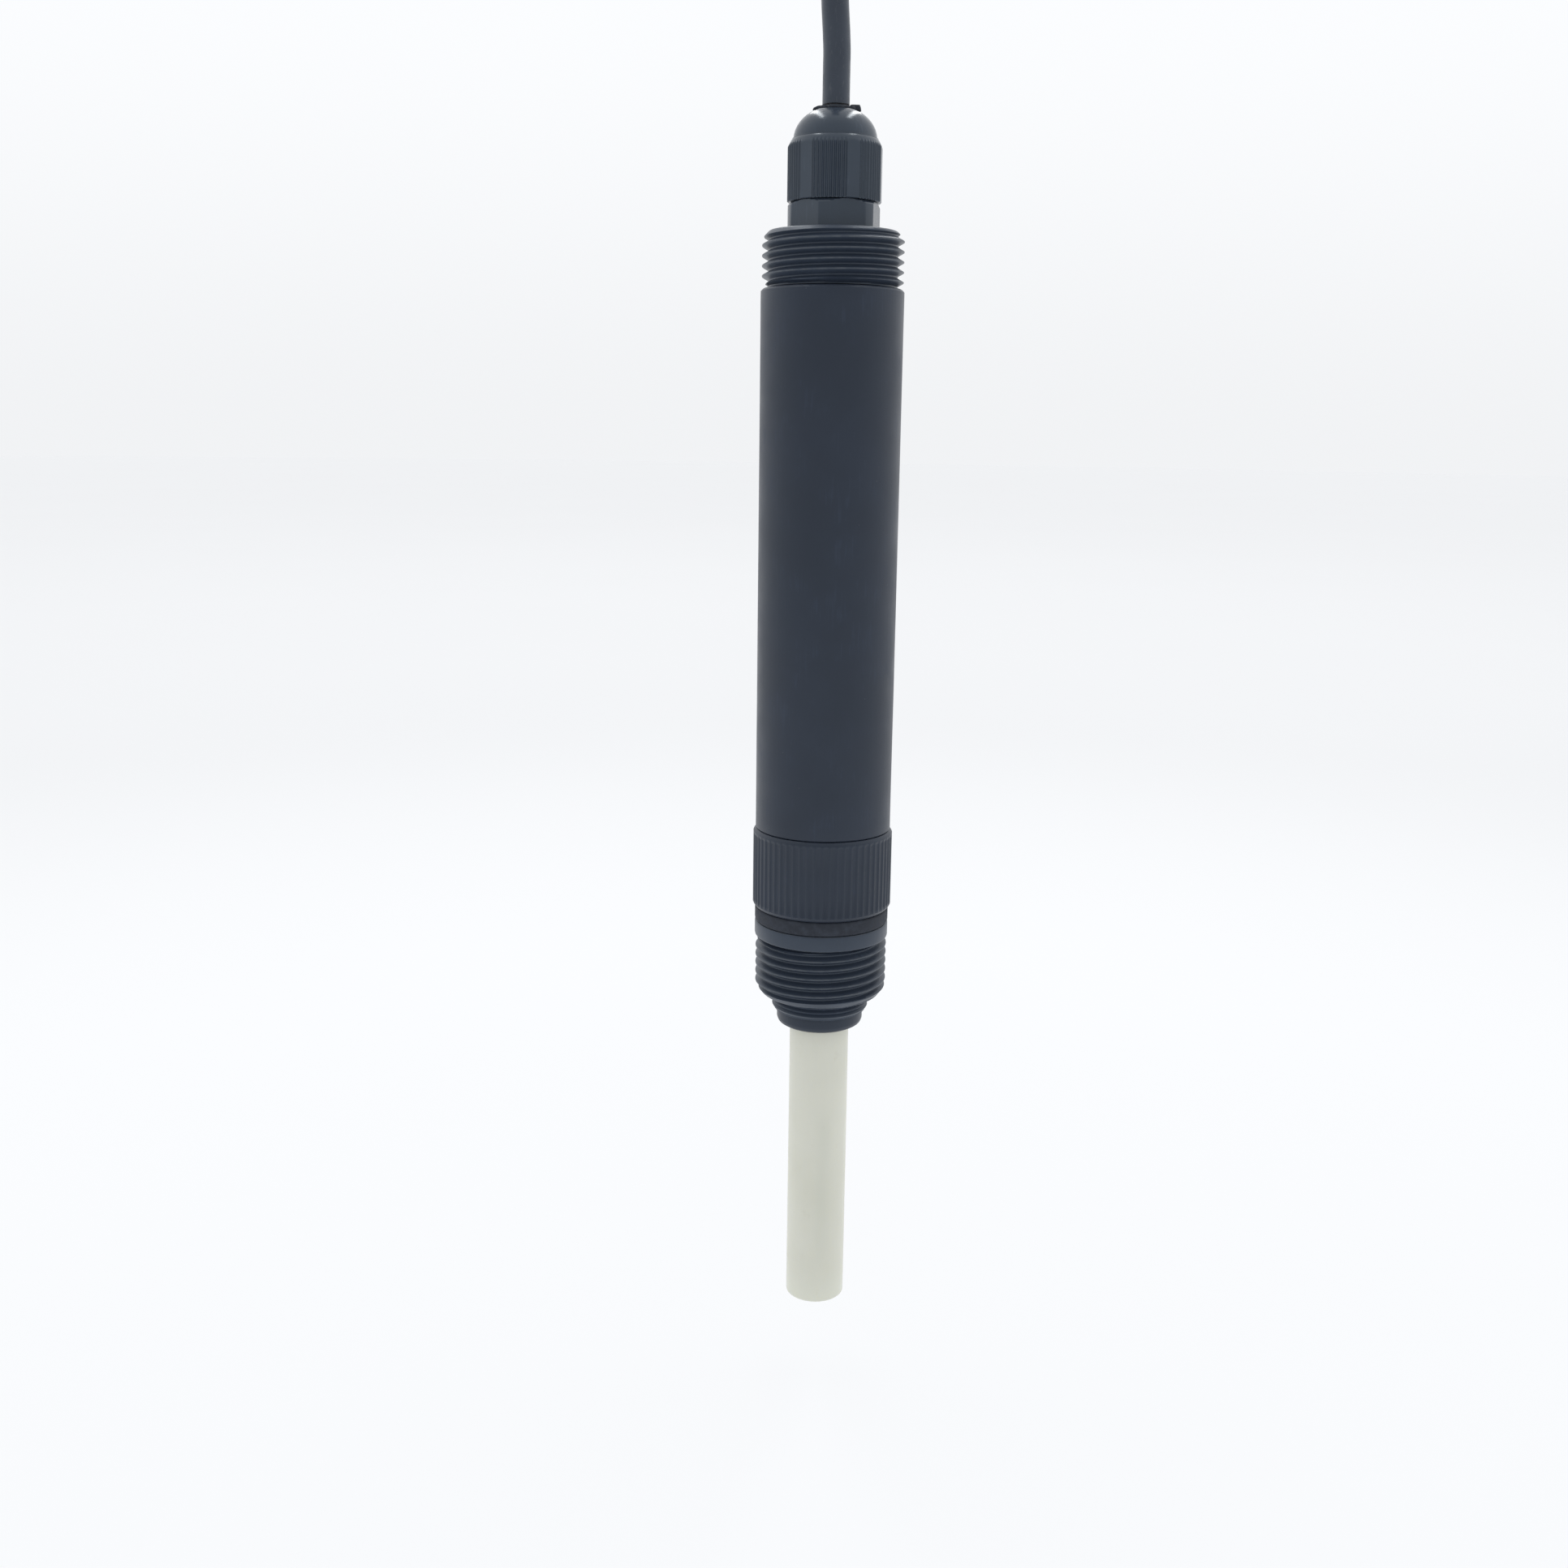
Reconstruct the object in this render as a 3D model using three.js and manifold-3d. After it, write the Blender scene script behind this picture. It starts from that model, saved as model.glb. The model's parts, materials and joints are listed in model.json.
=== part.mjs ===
// Immersion pH sensor: a glass pH electrode in a white sleeve, screwed by a coupling collar to a
// black tube that holds the transmitter board, with a cable gland on top, a short cable and a
// round four-pin plug. Millimetres, +Z up. The origin is the plug's top face, where the sensor hangs.
import * as THREE from 'three';
import { mergeVertices } from 'three/addons/utils/BufferGeometryUtils.js';
import Module from 'manifold-3d';

// ---- Driving dimensions: the stack of visible pieces, from the plug's face down to the tip ----
const PLUG_LENGTH = 48;
const CABLE_FREE_LENGTH = 40;
const LIP_HEIGHT = 1;
const DOME_HEIGHT = 5.1;
const NUT_HEIGHT = 10.9;
const HEX_HEIGHT = 5.1;
const UPPER_THREAD_LENGTH = 10.05;
const TUBE_LENGTH = 103.15;
const COLLAR_LENGTH = 16.1;
const GASKET_HEIGHT = 2.9;
const FLANGE_HEIGHT = 3.2;
const LOWER_THREAD_LENGTH = 12;
const NECK_HEIGHT = 3.6;
const RETAINER_HEIGHT = 3.1;
const ROD_LENGTH = 60.5;

// ---- Radii and section sizes ----
const GAP = 0.3; // clearance between pieces that touch
const CABLE_RADIUS = 2.5;
const TUBE_RADIUS = 13.4;
const TUBE_BORE = 10.2;
const TUBE_SPIGOT_RADIUS = 11.9;
const TUBE_SPIGOT_LENGTH = 10;
const EDGE = 0.4; // small chamfer on turned edges
const THREAD_RADIUS = 13.22; // G3/4 pipe thread, 26.44 mm across the crests
const THREAD_PITCH = 1.814;
const THREAD_DEPTH = 1.16;
const THREAD_CREST = 0.07; // half width of the crest flat, as a share of the pitch
const UPPER_CREST_Z = 1.14; // height of a crest above the tube's end, on the +X side
const LOWER_CREST_Z = -1.6; // height of a crest from the flange, on the +X side
const NUT_RADIUS = 8.7;
const HEX_ACROSS_FLATS = 16;
const HEX_CORNER_ANGLE = 258; // degrees from +X
const NUT_ARC_ANGLE = 263; // middle of one ribbed arc, degrees from +X
const NUT_ARC_SPAN = 44;
const NUT_RIBS = 9;
const NUT_SIDES = 6;
const RIB_DEPTH = 0.27;
const DOME_RADIUS = 7.7;
const DOME_RISE = 5.9; // vertical half axis of the dome's ellipse
const DOME_HOLE = 3.9;
const COLLAR_RADIUS = 13.85;
const COLLAR_RIBS = 60;
const COLLAR_RIB_DEPTH = 0.22;
const ROD_RADIUS = 6;
const ROD_BORE = 4.8;
const SEAT_BORE = 7.7; // counterbore around the electrode's head and O-rings

// ---- Facets ----
const ROUND = 28;
const SMALL_ROUND = 16;
const TINY_ROUND = 8;
const CABLE_SIDES = 10;
const MERGE_TOLERANCE = 1e-4;

// ---- Heights of the groups ----
const lipTop = -(PLUG_LENGTH + CABLE_FREE_LENGTH);
const glandSeat = lipTop - LIP_HEIGHT - DOME_HEIGHT - NUT_HEIGHT - HEX_HEIGHT;
const tubeTop = glandSeat - UPPER_THREAD_LENGTH;
const flangeSeat = tubeTop - TUBE_LENGTH - COLLAR_LENGTH - GASKET_HEIGHT - FLANGE_HEIGHT;

const LOOKS = {
  satinBlack: { color: 0x2e3138, roughness: 0.45, metalness: 0 },
  glossBlack: { color: 0x24262b, roughness: 0.2, metalness: 0 },
  cableJacket: { color: 0x303339, roughness: 0.5, metalness: 0 },
  rubber: { color: 0x1a1b1d, roughness: 0.8, metalness: 0 },
  redRubber: { color: 0x8a2a22, roughness: 0.7, metalness: 0 },
  whiteSleeve: { color: 0xd9dacd, roughness: 0.35, metalness: 0 },
  potting: { color: 0x4a4238, roughness: 0.3, metalness: 0 },
  board: { color: 0x1f5b3a, roughness: 0.4, metalness: 0 },
  chip: { color: 0x1c1c1e, roughness: 0.6, metalness: 0 },
  steel: { color: 0xb9bcc0, roughness: 0.3, metalness: 1 },
  gold: { color: 0xd8b25a, roughness: 0.25, metalness: 1 },
  silver: { color: 0xcfd0d2, roughness: 0.3, metalness: 1 },
  glass: { color: 0xdfe9ea, roughness: 0.05, metalness: 0 },
  ceramic: { color: 0xe6e2d6, roughness: 0.8, metalness: 0 },
  silicone: { color: 0xc9c3b4, roughness: 0.6, metalness: 0 },
};
const WIRE_COLOURS = [0x9c2a24, 0x17181a, 0xc9b23a, 0x2f6b3e];

const wasm = await Module();
wasm.setup();

// ---- Shape helpers ----
function signedArea(points) {
  let sum = 0;
  points.forEach(([x, y], i) => {
    const [nextX, nextY] = points[(i + 1) % points.length];
    sum += x * nextY - nextX * y;
  });
  return sum / 2;
}

// A solid of revolution about Z from a closed outline of [radius, height] points.
function turned(outline, segments = ROUND) {
  const points = signedArea(outline) > 0 ? [...outline] : [...outline].reverse();
  const onAxis = points.map(([radius]) => radius === 0);
  const start = onAxis.findIndex((here, i) => here && onAxis.at(i - 1));
  const ordered = start < 0 ? [...points, points[0]] : [...points.slice(start), ...points.slice(0, start)];
  const curve = ordered.map(([radius, height]) => new THREE.Vector2(radius, height));
  return new THREE.LatheGeometry(curve, segments).rotateX(Math.PI / 2);
}

function rod(radius, bottom, top, segments = SMALL_ROUND) {
  return turned([[0, bottom], [radius, bottom], [radius, top], [0, top]], segments);
}

function ring(inner, outer, bottom, top, segments = SMALL_ROUND) {
  return turned([[inner, bottom], [outer, bottom], [outer, top], [inner, top]], segments);
}

function oRing(radius, section, height) {
  return new THREE.TorusGeometry(radius, section, 6, SMALL_ROUND).translate(0, 0, height);
}

function block(width, depth, height, x, y, z) {
  return new THREE.BoxGeometry(width, depth, height).translate(x, y, z);
}

function prism(points, bottom, top) {
  const shape = new THREE.Shape(points.map(([x, y]) => new THREE.Vector2(x, y)));
  const settings = { depth: top - bottom, bevelEnabled: false, steps: 1 };
  return new THREE.ExtrudeGeometry(shape, settings).translate(0, 0, bottom);
}

function tubeAlong(points, radius, sides, steps) {
  const path = new THREE.CatmullRomCurve3(points.map((p) => new THREE.Vector3(...p)));
  const section = new THREE.Shape();
  for (let i = 0; i < sides; i += 1) {
    const angle = (2 * Math.PI * i) / sides;
    const move = i === 0 ? 'moveTo' : 'lineTo';
    section[move](radius * Math.cos(angle), radius * Math.sin(angle));
  }
  return new THREE.ExtrudeGeometry(section, { steps, extrudePath: path, bevelEnabled: false });
}

function polar(radius, degrees) {
  const angle = THREE.MathUtils.degToRad(degrees);
  return [radius * Math.cos(angle), radius * Math.sin(angle)];
}

// Points of an elliptical arc about (0, centre), from one angle to another in degrees.
function arc(halfWidth, halfHeight, centre, from, to, steps) {
  const points = [];
  for (let i = 0; i <= steps; i += 1) {
    const [x, y] = polar(1, from + ((to - from) * i) / steps);
    points.push([halfWidth * x, centre + halfHeight * y]);
  }
  return points;
}

// ---- Joining and cutting ----
function toSolid(geometry) {
  const bare = geometry.clone();
  bare.deleteAttribute('normal');
  bare.deleteAttribute('uv');
  const merged = mergeVertices(bare, MERGE_TOLERANCE);
  const corners = [];
  for (let i = 0; i < merged.index.count; i += 3) {
    const [a, b, c] = [0, 1, 2].map((k) => merged.index.getX(i + k));
    if (a !== b && b !== c && c !== a) corners.push(a, b, c);
  }
  return new wasm.Manifold(new wasm.Mesh({
    numProp: 3,
    vertProperties: merged.attributes.position.array,
    triVerts: new Uint32Array(corners),
  }));
}

function toGeometry(solid) {
  const mesh = solid.getMesh();
  const geometry = new THREE.BufferGeometry();
  geometry.setAttribute('position', new THREE.BufferAttribute(mesh.vertProperties.slice(), 3));
  geometry.setIndex(new THREE.BufferAttribute(mesh.triVerts.slice(), 1));
  return geometry;
}

function cut(geometry, ...tools) {
  return toGeometry(tools.reduce((solid, tool) => solid.subtract(toSolid(tool)), toSolid(geometry)));
}

function join(geometry, ...others) {
  return toGeometry(others.reduce((solid, other) => solid.add(toSolid(other)), toSolid(geometry)));
}

function common(geometry, other) {
  return toGeometry(toSolid(geometry).intersect(toSolid(other)));
}

// ---- Threads and ribs ----
// A right-hand threaded rod, a pitch longer at each end than the stretch it is cut to.
function threadedRod(radius, pitch, depth, bottom, top, crestHeight) {
  const section = [
    [-THREAD_CREST, radius],
    [THREAD_CREST, radius],
    [0.5, radius - depth],
  ];
  const perTurn = section.length;
  const firstTurn = Math.floor((bottom - crestHeight) / pitch) - 2;
  const turns = Math.ceil((top - bottom) / pitch) + 4;
  const rows = turns * perTurn;
  const positions = [];
  for (let column = 0; column < ROUND; column += 1) {
    const share = column / ROUND;
    for (let row = 0; row < rows + perTurn; row += 1) {
      const [offset, reach] = section[row % perTurn];
      const turn = firstTurn + Math.floor(row / perTurn) + offset + share;
      positions.push(...polar(reach, share * 360), crestHeight + turn * pitch);
    }
  }
  // One column past the last is the first column, one turn up.
  const at = (column, row) => {
    const wrapped = column === ROUND;
    return (wrapped ? 0 : column * (rows + perTurn)) + row + (wrapped ? perTurn : 0);
  };
  const corners = [];
  for (let column = 0; column < ROUND; column += 1) {
    for (let row = 0; row + 1 < rows; row += 1) {
      const [a, b] = [at(column, row), at(column + 1, row)];
      corners.push(a, b, b + 1, a, b + 1, a + 1);
    }
  }
  const lowEdge = [];
  const highEdge = [];
  for (let column = 0; column <= ROUND; column += 1) {
    lowEdge.push(at(column, 0));
    highEdge.push(at(column, rows - 1));
  }
  for (let row = perTurn - 1; row > 0; row -= 1) {
    lowEdge.push(at(0, row));
    highEdge.push(at(0, rows - 1 + row));
  }
  const lowCentre = positions.length / 3;
  positions.push(0, 0, crestHeight + (firstTurn + 0.5) * pitch);
  positions.push(0, 0, crestHeight + (firstTurn + turns + 0.5) * pitch);
  lowEdge.forEach((corner, i) => {
    corners.push(lowCentre, lowEdge[(i + 1) % lowEdge.length], corner);
  });
  highEdge.forEach((corner, i) => {
    corners.push(lowCentre + 1, corner, highEdge[(i + 1) % highEdge.length]);
  });
  const geometry = new THREE.BufferGeometry();
  geometry.setAttribute('position', new THREE.Float32BufferAttribute(positions, 3));
  geometry.setIndex(corners);
  return geometry;
}

// The cap nut's outline: ribbed arcs with a smooth flat between each two.
function nutOutline() {
  const points = [];
  for (let side = 0; side < NUT_SIDES; side += 1) {
    const first = NUT_ARC_ANGLE + (side * 360) / NUT_SIDES - NUT_ARC_SPAN / 2;
    for (let step = 0; step <= NUT_RIBS * 2; step += 1) {
      const radius = step % 2 === 0 ? NUT_RADIUS : NUT_RADIUS - RIB_DEPTH;
      points.push(polar(radius, first + (step * NUT_ARC_SPAN) / (NUT_RIBS * 2)));
    }
  }
  return points;
}

function collarOutline() {
  const points = [];
  for (let step = 0; step < COLLAR_RIBS * 2; step += 1) {
    const radius = step % 2 === 0 ? COLLAR_RADIUS : COLLAR_RADIUS - COLLAR_RIB_DEPTH;
    points.push(polar(radius, (step * 180) / COLLAR_RIBS));
  }
  return points;
}

function hexOutline(acrossFlats, cornerAngle) {
  const points = [];
  for (let corner = 0; corner < 6; corner += 1) {
    points.push(polar(acrossFlats / Math.sqrt(3), cornerAngle + corner * 60));
  }
  return points;
}

// ---- Scene graph ----
const sensor = new THREE.Group();

function assembly(height) {
  const group = new THREE.Group();
  group.position.z = height;
  sensor.add(group);
  return group;
}

function piece(group, name, geometry, look, color = look.color) {
  const mesh = new THREE.Mesh(geometry, new THREE.MeshStandardMaterial({ ...look, color }));
  mesh.name = name;
  group.add(mesh);
  return mesh;
}

// ---- Plug at the cable's end: heights run down from its top face ----
function buildPlug() {
  const group = assembly(0);
  const grip = { top: -20 - GAP, bottom: -34, radius: 6.6 };
  const neck = { radius: 5, flange: 5.6, front: 4.6, top: -9 };
  const pinCircle = 2.6;

  piece(group, 'plug_coupling_ring', turned([
    [7.3, -19.6], [7.3, -9.2], [6.9, -8.8], [6, -8.4], [6, -0.5], [5.6, 0], [5.1, 0], [5.1, -16],
    [5.9, -16], [5.9, -19], [5.3, -19], [5.3, -20], [6.9, -20],
  ]), LOOKS.steel);
  piece(group, 'plug_body', turned([
    [0, grip.bottom], [grip.radius - EDGE, grip.bottom], [grip.radius, grip.bottom + EDGE],
    [grip.radius, grip.top - EDGE], [grip.radius - EDGE, grip.top], [neck.radius, grip.top],
    [neck.radius, -18.7], [neck.flange, -18.7], [neck.flange, -16.3], [neck.front, -16.3],
    [neck.front, neck.top], [0, neck.top],
  ]), LOOKS.satinBlack);
  piece(group, 'plug_strain_relief', turned([
    [0, -PLUG_LENGTH], [3.6, -PLUG_LENGTH], [3.8, -46], [3.4, -45.6], [3.4, -44.4], [4.1, -44],
    [4.2, -42], [3.7, -41.6], [3.7, -40.4], [4.5, -40], [4.7, -38], [4.1, -37.6], [4.1, -36.4],
    [5.2, -36], [5.5, grip.bottom - GAP], [0, grip.bottom - GAP],
  ], SMALL_ROUND), LOOKS.satinBlack);

  const pinPlaces = [45, 135, 225, 315].map((angle) => polar(pinCircle, angle));
  const holes = pinPlaces.map(([x, y]) => rod(0.8, -10, -5, TINY_ROUND).translate(x, y, 0));
  piece(group, 'plug_insert', cut(rod(4, neck.top + GAP, -6.5), ...holes), LOOKS.glossBlack);
  pinPlaces.forEach(([x, y], i) => {
    const pin = turned([[0, -8.5], [0.5, -8.5], [0.5, -1.1], [0.2, -0.8], [0, -0.8]], TINY_ROUND);
    const mesh = piece(group, `plug_pin_${i + 1}`, pin, LOOKS.gold);
    mesh.position.set(x, y, 0);
  });
  piece(group, 'plug_o_ring', oRing(4.55, 0.4, -8.3), LOOKS.redRubber);
}

// ---- Cable: the free stretch, its end inside the gland, and its four cores ----
function buildCable() {
  const group = assembly(0);
  const bow = -0.7; // the taut cable bows a little towards -X
  const straight = 7.2; // the seal slides up this stretch when the nut is undone
  const top = -PLUG_LENGTH - GAP;
  const route = [
    [0, 0, top],
    [0, 0, top - 3],
    [bow * 0.7, 0, top - 9],
    [bow, 0, (top + lipTop) / 2 + 3],
    [0, 0, lipTop + straight + 2],
    [0, 0, lipTop + straight],
    [0, 0, lipTop],
  ];
  piece(group, 'cable', tubeAlong(route, CABLE_RADIUS, CABLE_SIDES, 8), LOOKS.cableJacket);
  const innerEnd = tubeTop - 2;
  piece(group, 'cable_inner_end', rod(CABLE_RADIUS, innerEnd, lipTop - GAP), LOOKS.cableJacket);

  const wireEnd = tubeTop - 27;
  [-1.5, -0.5, 0.5, 1.5].forEach((place, i) => {
    const core = polar(1.1, 135 + i * 90);
    const wire = [
      [core[0], core[1], innerEnd - GAP],
      [core[0], core[1], innerEnd - 4],
      [place * 2.6, -2.6, tubeTop - 14],
      [place * 2.6, -2.6, tubeTop - 20],
      [place * 2.6, -2.6, wireEnd],
    ];
    const mesh = tubeAlong(wire, 0.65, TINY_ROUND, 12);
    piece(group, `core_wire_${i + 1}`, mesh, LOOKS.silicone, WIRE_COLOURS[i]);
  });
}

// ---- Cable gland: heights run up from the hexagon's underside ----
function buildGland() {
  const group = assembly(glandSeat);
  const nutBottom = HEX_HEIGHT;
  const nutTop = nutBottom + NUT_HEIGHT;
  const domeTop = nutTop + DOME_HEIGHT;
  const stub = { radius: 6, bottom: -8 };
  const spigotTop = nutBottom + 5.2;
  const clawTop = nutTop - 1.9;
  const sealBore = 4.6;
  const sealBottom = nutBottom + 1.2;

  const hexagon = common(
    prism(hexOutline(HEX_ACROSS_FLATS, HEX_CORNER_ANGLE), 0, nutBottom - GAP),
    turned([
      [0, -1], [NUT_RADIUS, -1], [NUT_RADIUS, nutBottom - 0.8], [NUT_RADIUS - 0.7, nutBottom],
      [0, nutBottom],
    ]),
  );
  const core = turned([
    [0, stub.bottom], [stub.radius - EDGE, stub.bottom], [stub.radius, stub.bottom + EDGE],
    [stub.radius, spigotTop], [5.7, spigotTop], [5.5, clawTop], [0, clawTop],
  ]);
  const bore = turned([
    [0, stub.bottom - 1], [3.3, stub.bottom - 1], [3.3, nutBottom], [sealBore, nutBottom + 0.6],
    [sealBore, clawTop + 1], [0, clawTop + 1],
  ], SMALL_ROUND);
  const slots = [0, 1, 2, 3].map((i) => (
    block(14, 0.9, clawTop - spigotTop, 0, 0, (clawTop + spigotTop) / 2 + 0.6).rotateZ((i * Math.PI) / 4)
  ));
  piece(group, 'gland_body', cut(join(hexagon, core), bore, ...slots), LOOKS.glossBlack);
  piece(group, 'gland_washer', ring(stub.radius + GAP, 7.5, -0.9, -GAP), LOOKS.rubber);

  piece(group, 'gland_seal', turned([
    [CABLE_RADIUS + GAP, sealBottom], [4.1, sealBottom], [sealBore - GAP, sealBottom + 0.4],
    [sealBore - GAP, nutTop - 1.1], [DOME_HOLE - GAP, nutTop + 0.1], [DOME_HOLE - GAP, domeTop],
    [DOME_HOLE - 0.05, domeTop + 0.2], [DOME_HOLE - 0.35, domeTop + LIP_HEIGHT],
    [CABLE_RADIUS + GAP, domeTop + LIP_HEIGHT],
  ], SMALL_ROUND), LOOKS.rubber);

  const holeAngle = THREE.MathUtils.radToDeg(Math.acos(DOME_HOLE / DOME_RADIUS));
  const chamfer = 1.5;
  const envelope = turned([
    [6.3, nutBottom], [NUT_RADIUS, nutBottom], [NUT_RADIUS, nutTop - chamfer],
    [DOME_RADIUS + 0.1, nutTop], ...arc(DOME_RADIUS, DOME_RISE, nutTop, 0, holeAngle, 7),
    [DOME_HOLE, nutTop + 2], [DOME_HOLE + 0.9, nutTop + 0.4], [6.3, nutTop - 1],
  ]);
  const barrel = prism(nutOutline(), nutBottom - 1, domeTop + 1);
  piece(group, 'gland_cap_nut', common(barrel, envelope), LOOKS.glossBlack);
}

// ---- Housing: heights run from the tube's top end ----
function buildHousing() {
  const group = assembly(tubeTop);
  const threadTop = UPPER_THREAD_LENGTH;
  const plugRadius = TUBE_BORE - GAP;
  const coreRadius = THREAD_RADIUS - THREAD_DEPTH - 0.2;
  const topEdge = 0.6;
  const gland = { bore: 6.3, recess: NUT_RADIUS + GAP, depth: 1.2 };

  const threaded = common(
    threadedRod(THREAD_RADIUS, THREAD_PITCH, THREAD_DEPTH, 0, threadTop, UPPER_CREST_Z),
    turned([
      [gland.bore, GAP], [THREAD_RADIUS - 0.6, GAP], [THREAD_RADIUS + 0.1, 1],
      [THREAD_RADIUS + 0.1, threadTop - 1.35], [THREAD_RADIUS - 1.25, threadTop],
      [gland.recess, threadTop], [gland.recess, threadTop - gland.depth],
      [gland.bore, threadTop - gland.depth],
    ]),
  );
  const spigot = ring(gland.bore, plugRadius, -10, 1, ROUND);
  const core = ring(gland.bore, coreRadius, GAP, threadTop - 2, ROUND);
  piece(group, 'upper_end_cap', join(threaded, spigot, core), LOOKS.satinBlack);

  piece(group, 'housing_tube', turned([
    [TUBE_BORE, 0], [TUBE_RADIUS - topEdge, 0], [TUBE_RADIUS, -topEdge], [TUBE_RADIUS, EDGE - TUBE_LENGTH],
    [TUBE_RADIUS - EDGE, -TUBE_LENGTH], [TUBE_SPIGOT_RADIUS, -TUBE_LENGTH],
    [TUBE_SPIGOT_RADIUS, -TUBE_LENGTH - TUBE_SPIGOT_LENGTH], [TUBE_BORE, -TUBE_LENGTH - TUBE_SPIGOT_LENGTH],
  ]), LOOKS.satinBlack);

  const wireHoles = [-1.5, -0.5, 0.5, 1.5].map((place) => (
    rod(1, -20, -12, TINY_ROUND).translate(place * 2.6, -2.6, 0)
  ));
  const potting = cut(rod(plugRadius, -19, -13.6), ...wireHoles);
  piece(group, 'potting_plug', potting, LOOKS.potting);
  buildElectronics(group, plugRadius);
}

// ---- Transmitter board: it stands in the tube's XZ plane, with its parts on both faces ----
function buildElectronics(group, plugRadius) {
  const board = { width: 16, thickness: 1.6, top: -28, bottom: -96 };
  const front = -(board.thickness / 2 + GAP);
  const back = -front;
  const onFront = (width, depth, height, x, z) => block(width, depth, height, x, front - depth / 2, z);
  const onBack = (width, depth, height, x, z) => block(width, depth, height, x, back + depth / 2, z);
  const boardHeight = board.top - board.bottom;
  const middle = (board.top + board.bottom) / 2;

  piece(group, 'circuit_board', block(board.width, board.thickness, boardHeight, 0, 0, middle), LOOKS.board);
  [['upper', -37], ['lower', -90]].forEach(([place, z]) => {
    const slot = block(board.width + 2 * GAP, board.thickness + 2 * GAP, 5, 0, 0, z);
    const windows = [-1, 1].map((side) => block(11, 5, 5, 0, side * 4.6, z));
    const carrier = cut(rod(plugRadius, z - 1.5, z + 1.5), slot, ...windows);
    piece(group, `board_carrier_${place}`, carrier, LOOKS.silicone);
  });
  piece(group, 'wire_header', onFront(12, 3, 5, 0, -31), LOOKS.chip);
  piece(group, 'transceiver_chip', onFront(5, 1.6, 4, 0, -44), LOOKS.chip);
  piece(group, 'power_converter', onFront(12, 5.5, 7, 0, -53), LOOKS.chip);
  piece(group, 'microcontroller', onFront(7, 1.4, 7, 0, -64), LOOKS.chip);
  piece(group, 'crystal_can', onFront(3.2, 1.2, 5, 5.6, -64), LOOKS.steel);
  const capacitor = rod(2.5, -54, -46, 12).translate(0, back + 2.5, 0);
  piece(group, 'buffer_capacitor', capacitor, LOOKS.steel);
  piece(group, 'isolator_chip', onBack(7.5, 2.3, 10, 0, -64), LOOKS.chip);
  piece(group, 'amplifier_chip', onFront(5, 1.5, 4, 0, -78), LOOKS.chip);
  const can = onFront(12, 3, 14, 0, -78);
  const canHollow = block(11, 3, 13, 0, front - 1, -78);
  piece(group, 'shield_can', cut(can, canHollow), LOOKS.steel);

  const socketTop = board.bottom - GAP;
  const socket = turned([
    [0, socketTop], [0, socketTop - 1], [1.3, socketTop - 1], [1.3, socketTop - 8], [2.2, socketTop - 8],
    [2.2, socketTop],
  ], 12);
  piece(group, 'contact_socket', socket, LOOKS.gold);
  [['reference', -1], ['temperature', 1]].forEach(([signal, side]) => {
    const pin = rod(0.6, socketTop - 18, socketTop, TINY_ROUND).translate(side * 5.1, 0, 0);
    piece(group, `spring_pin_${signal}`, pin, LOOKS.gold);
  });
}

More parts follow.
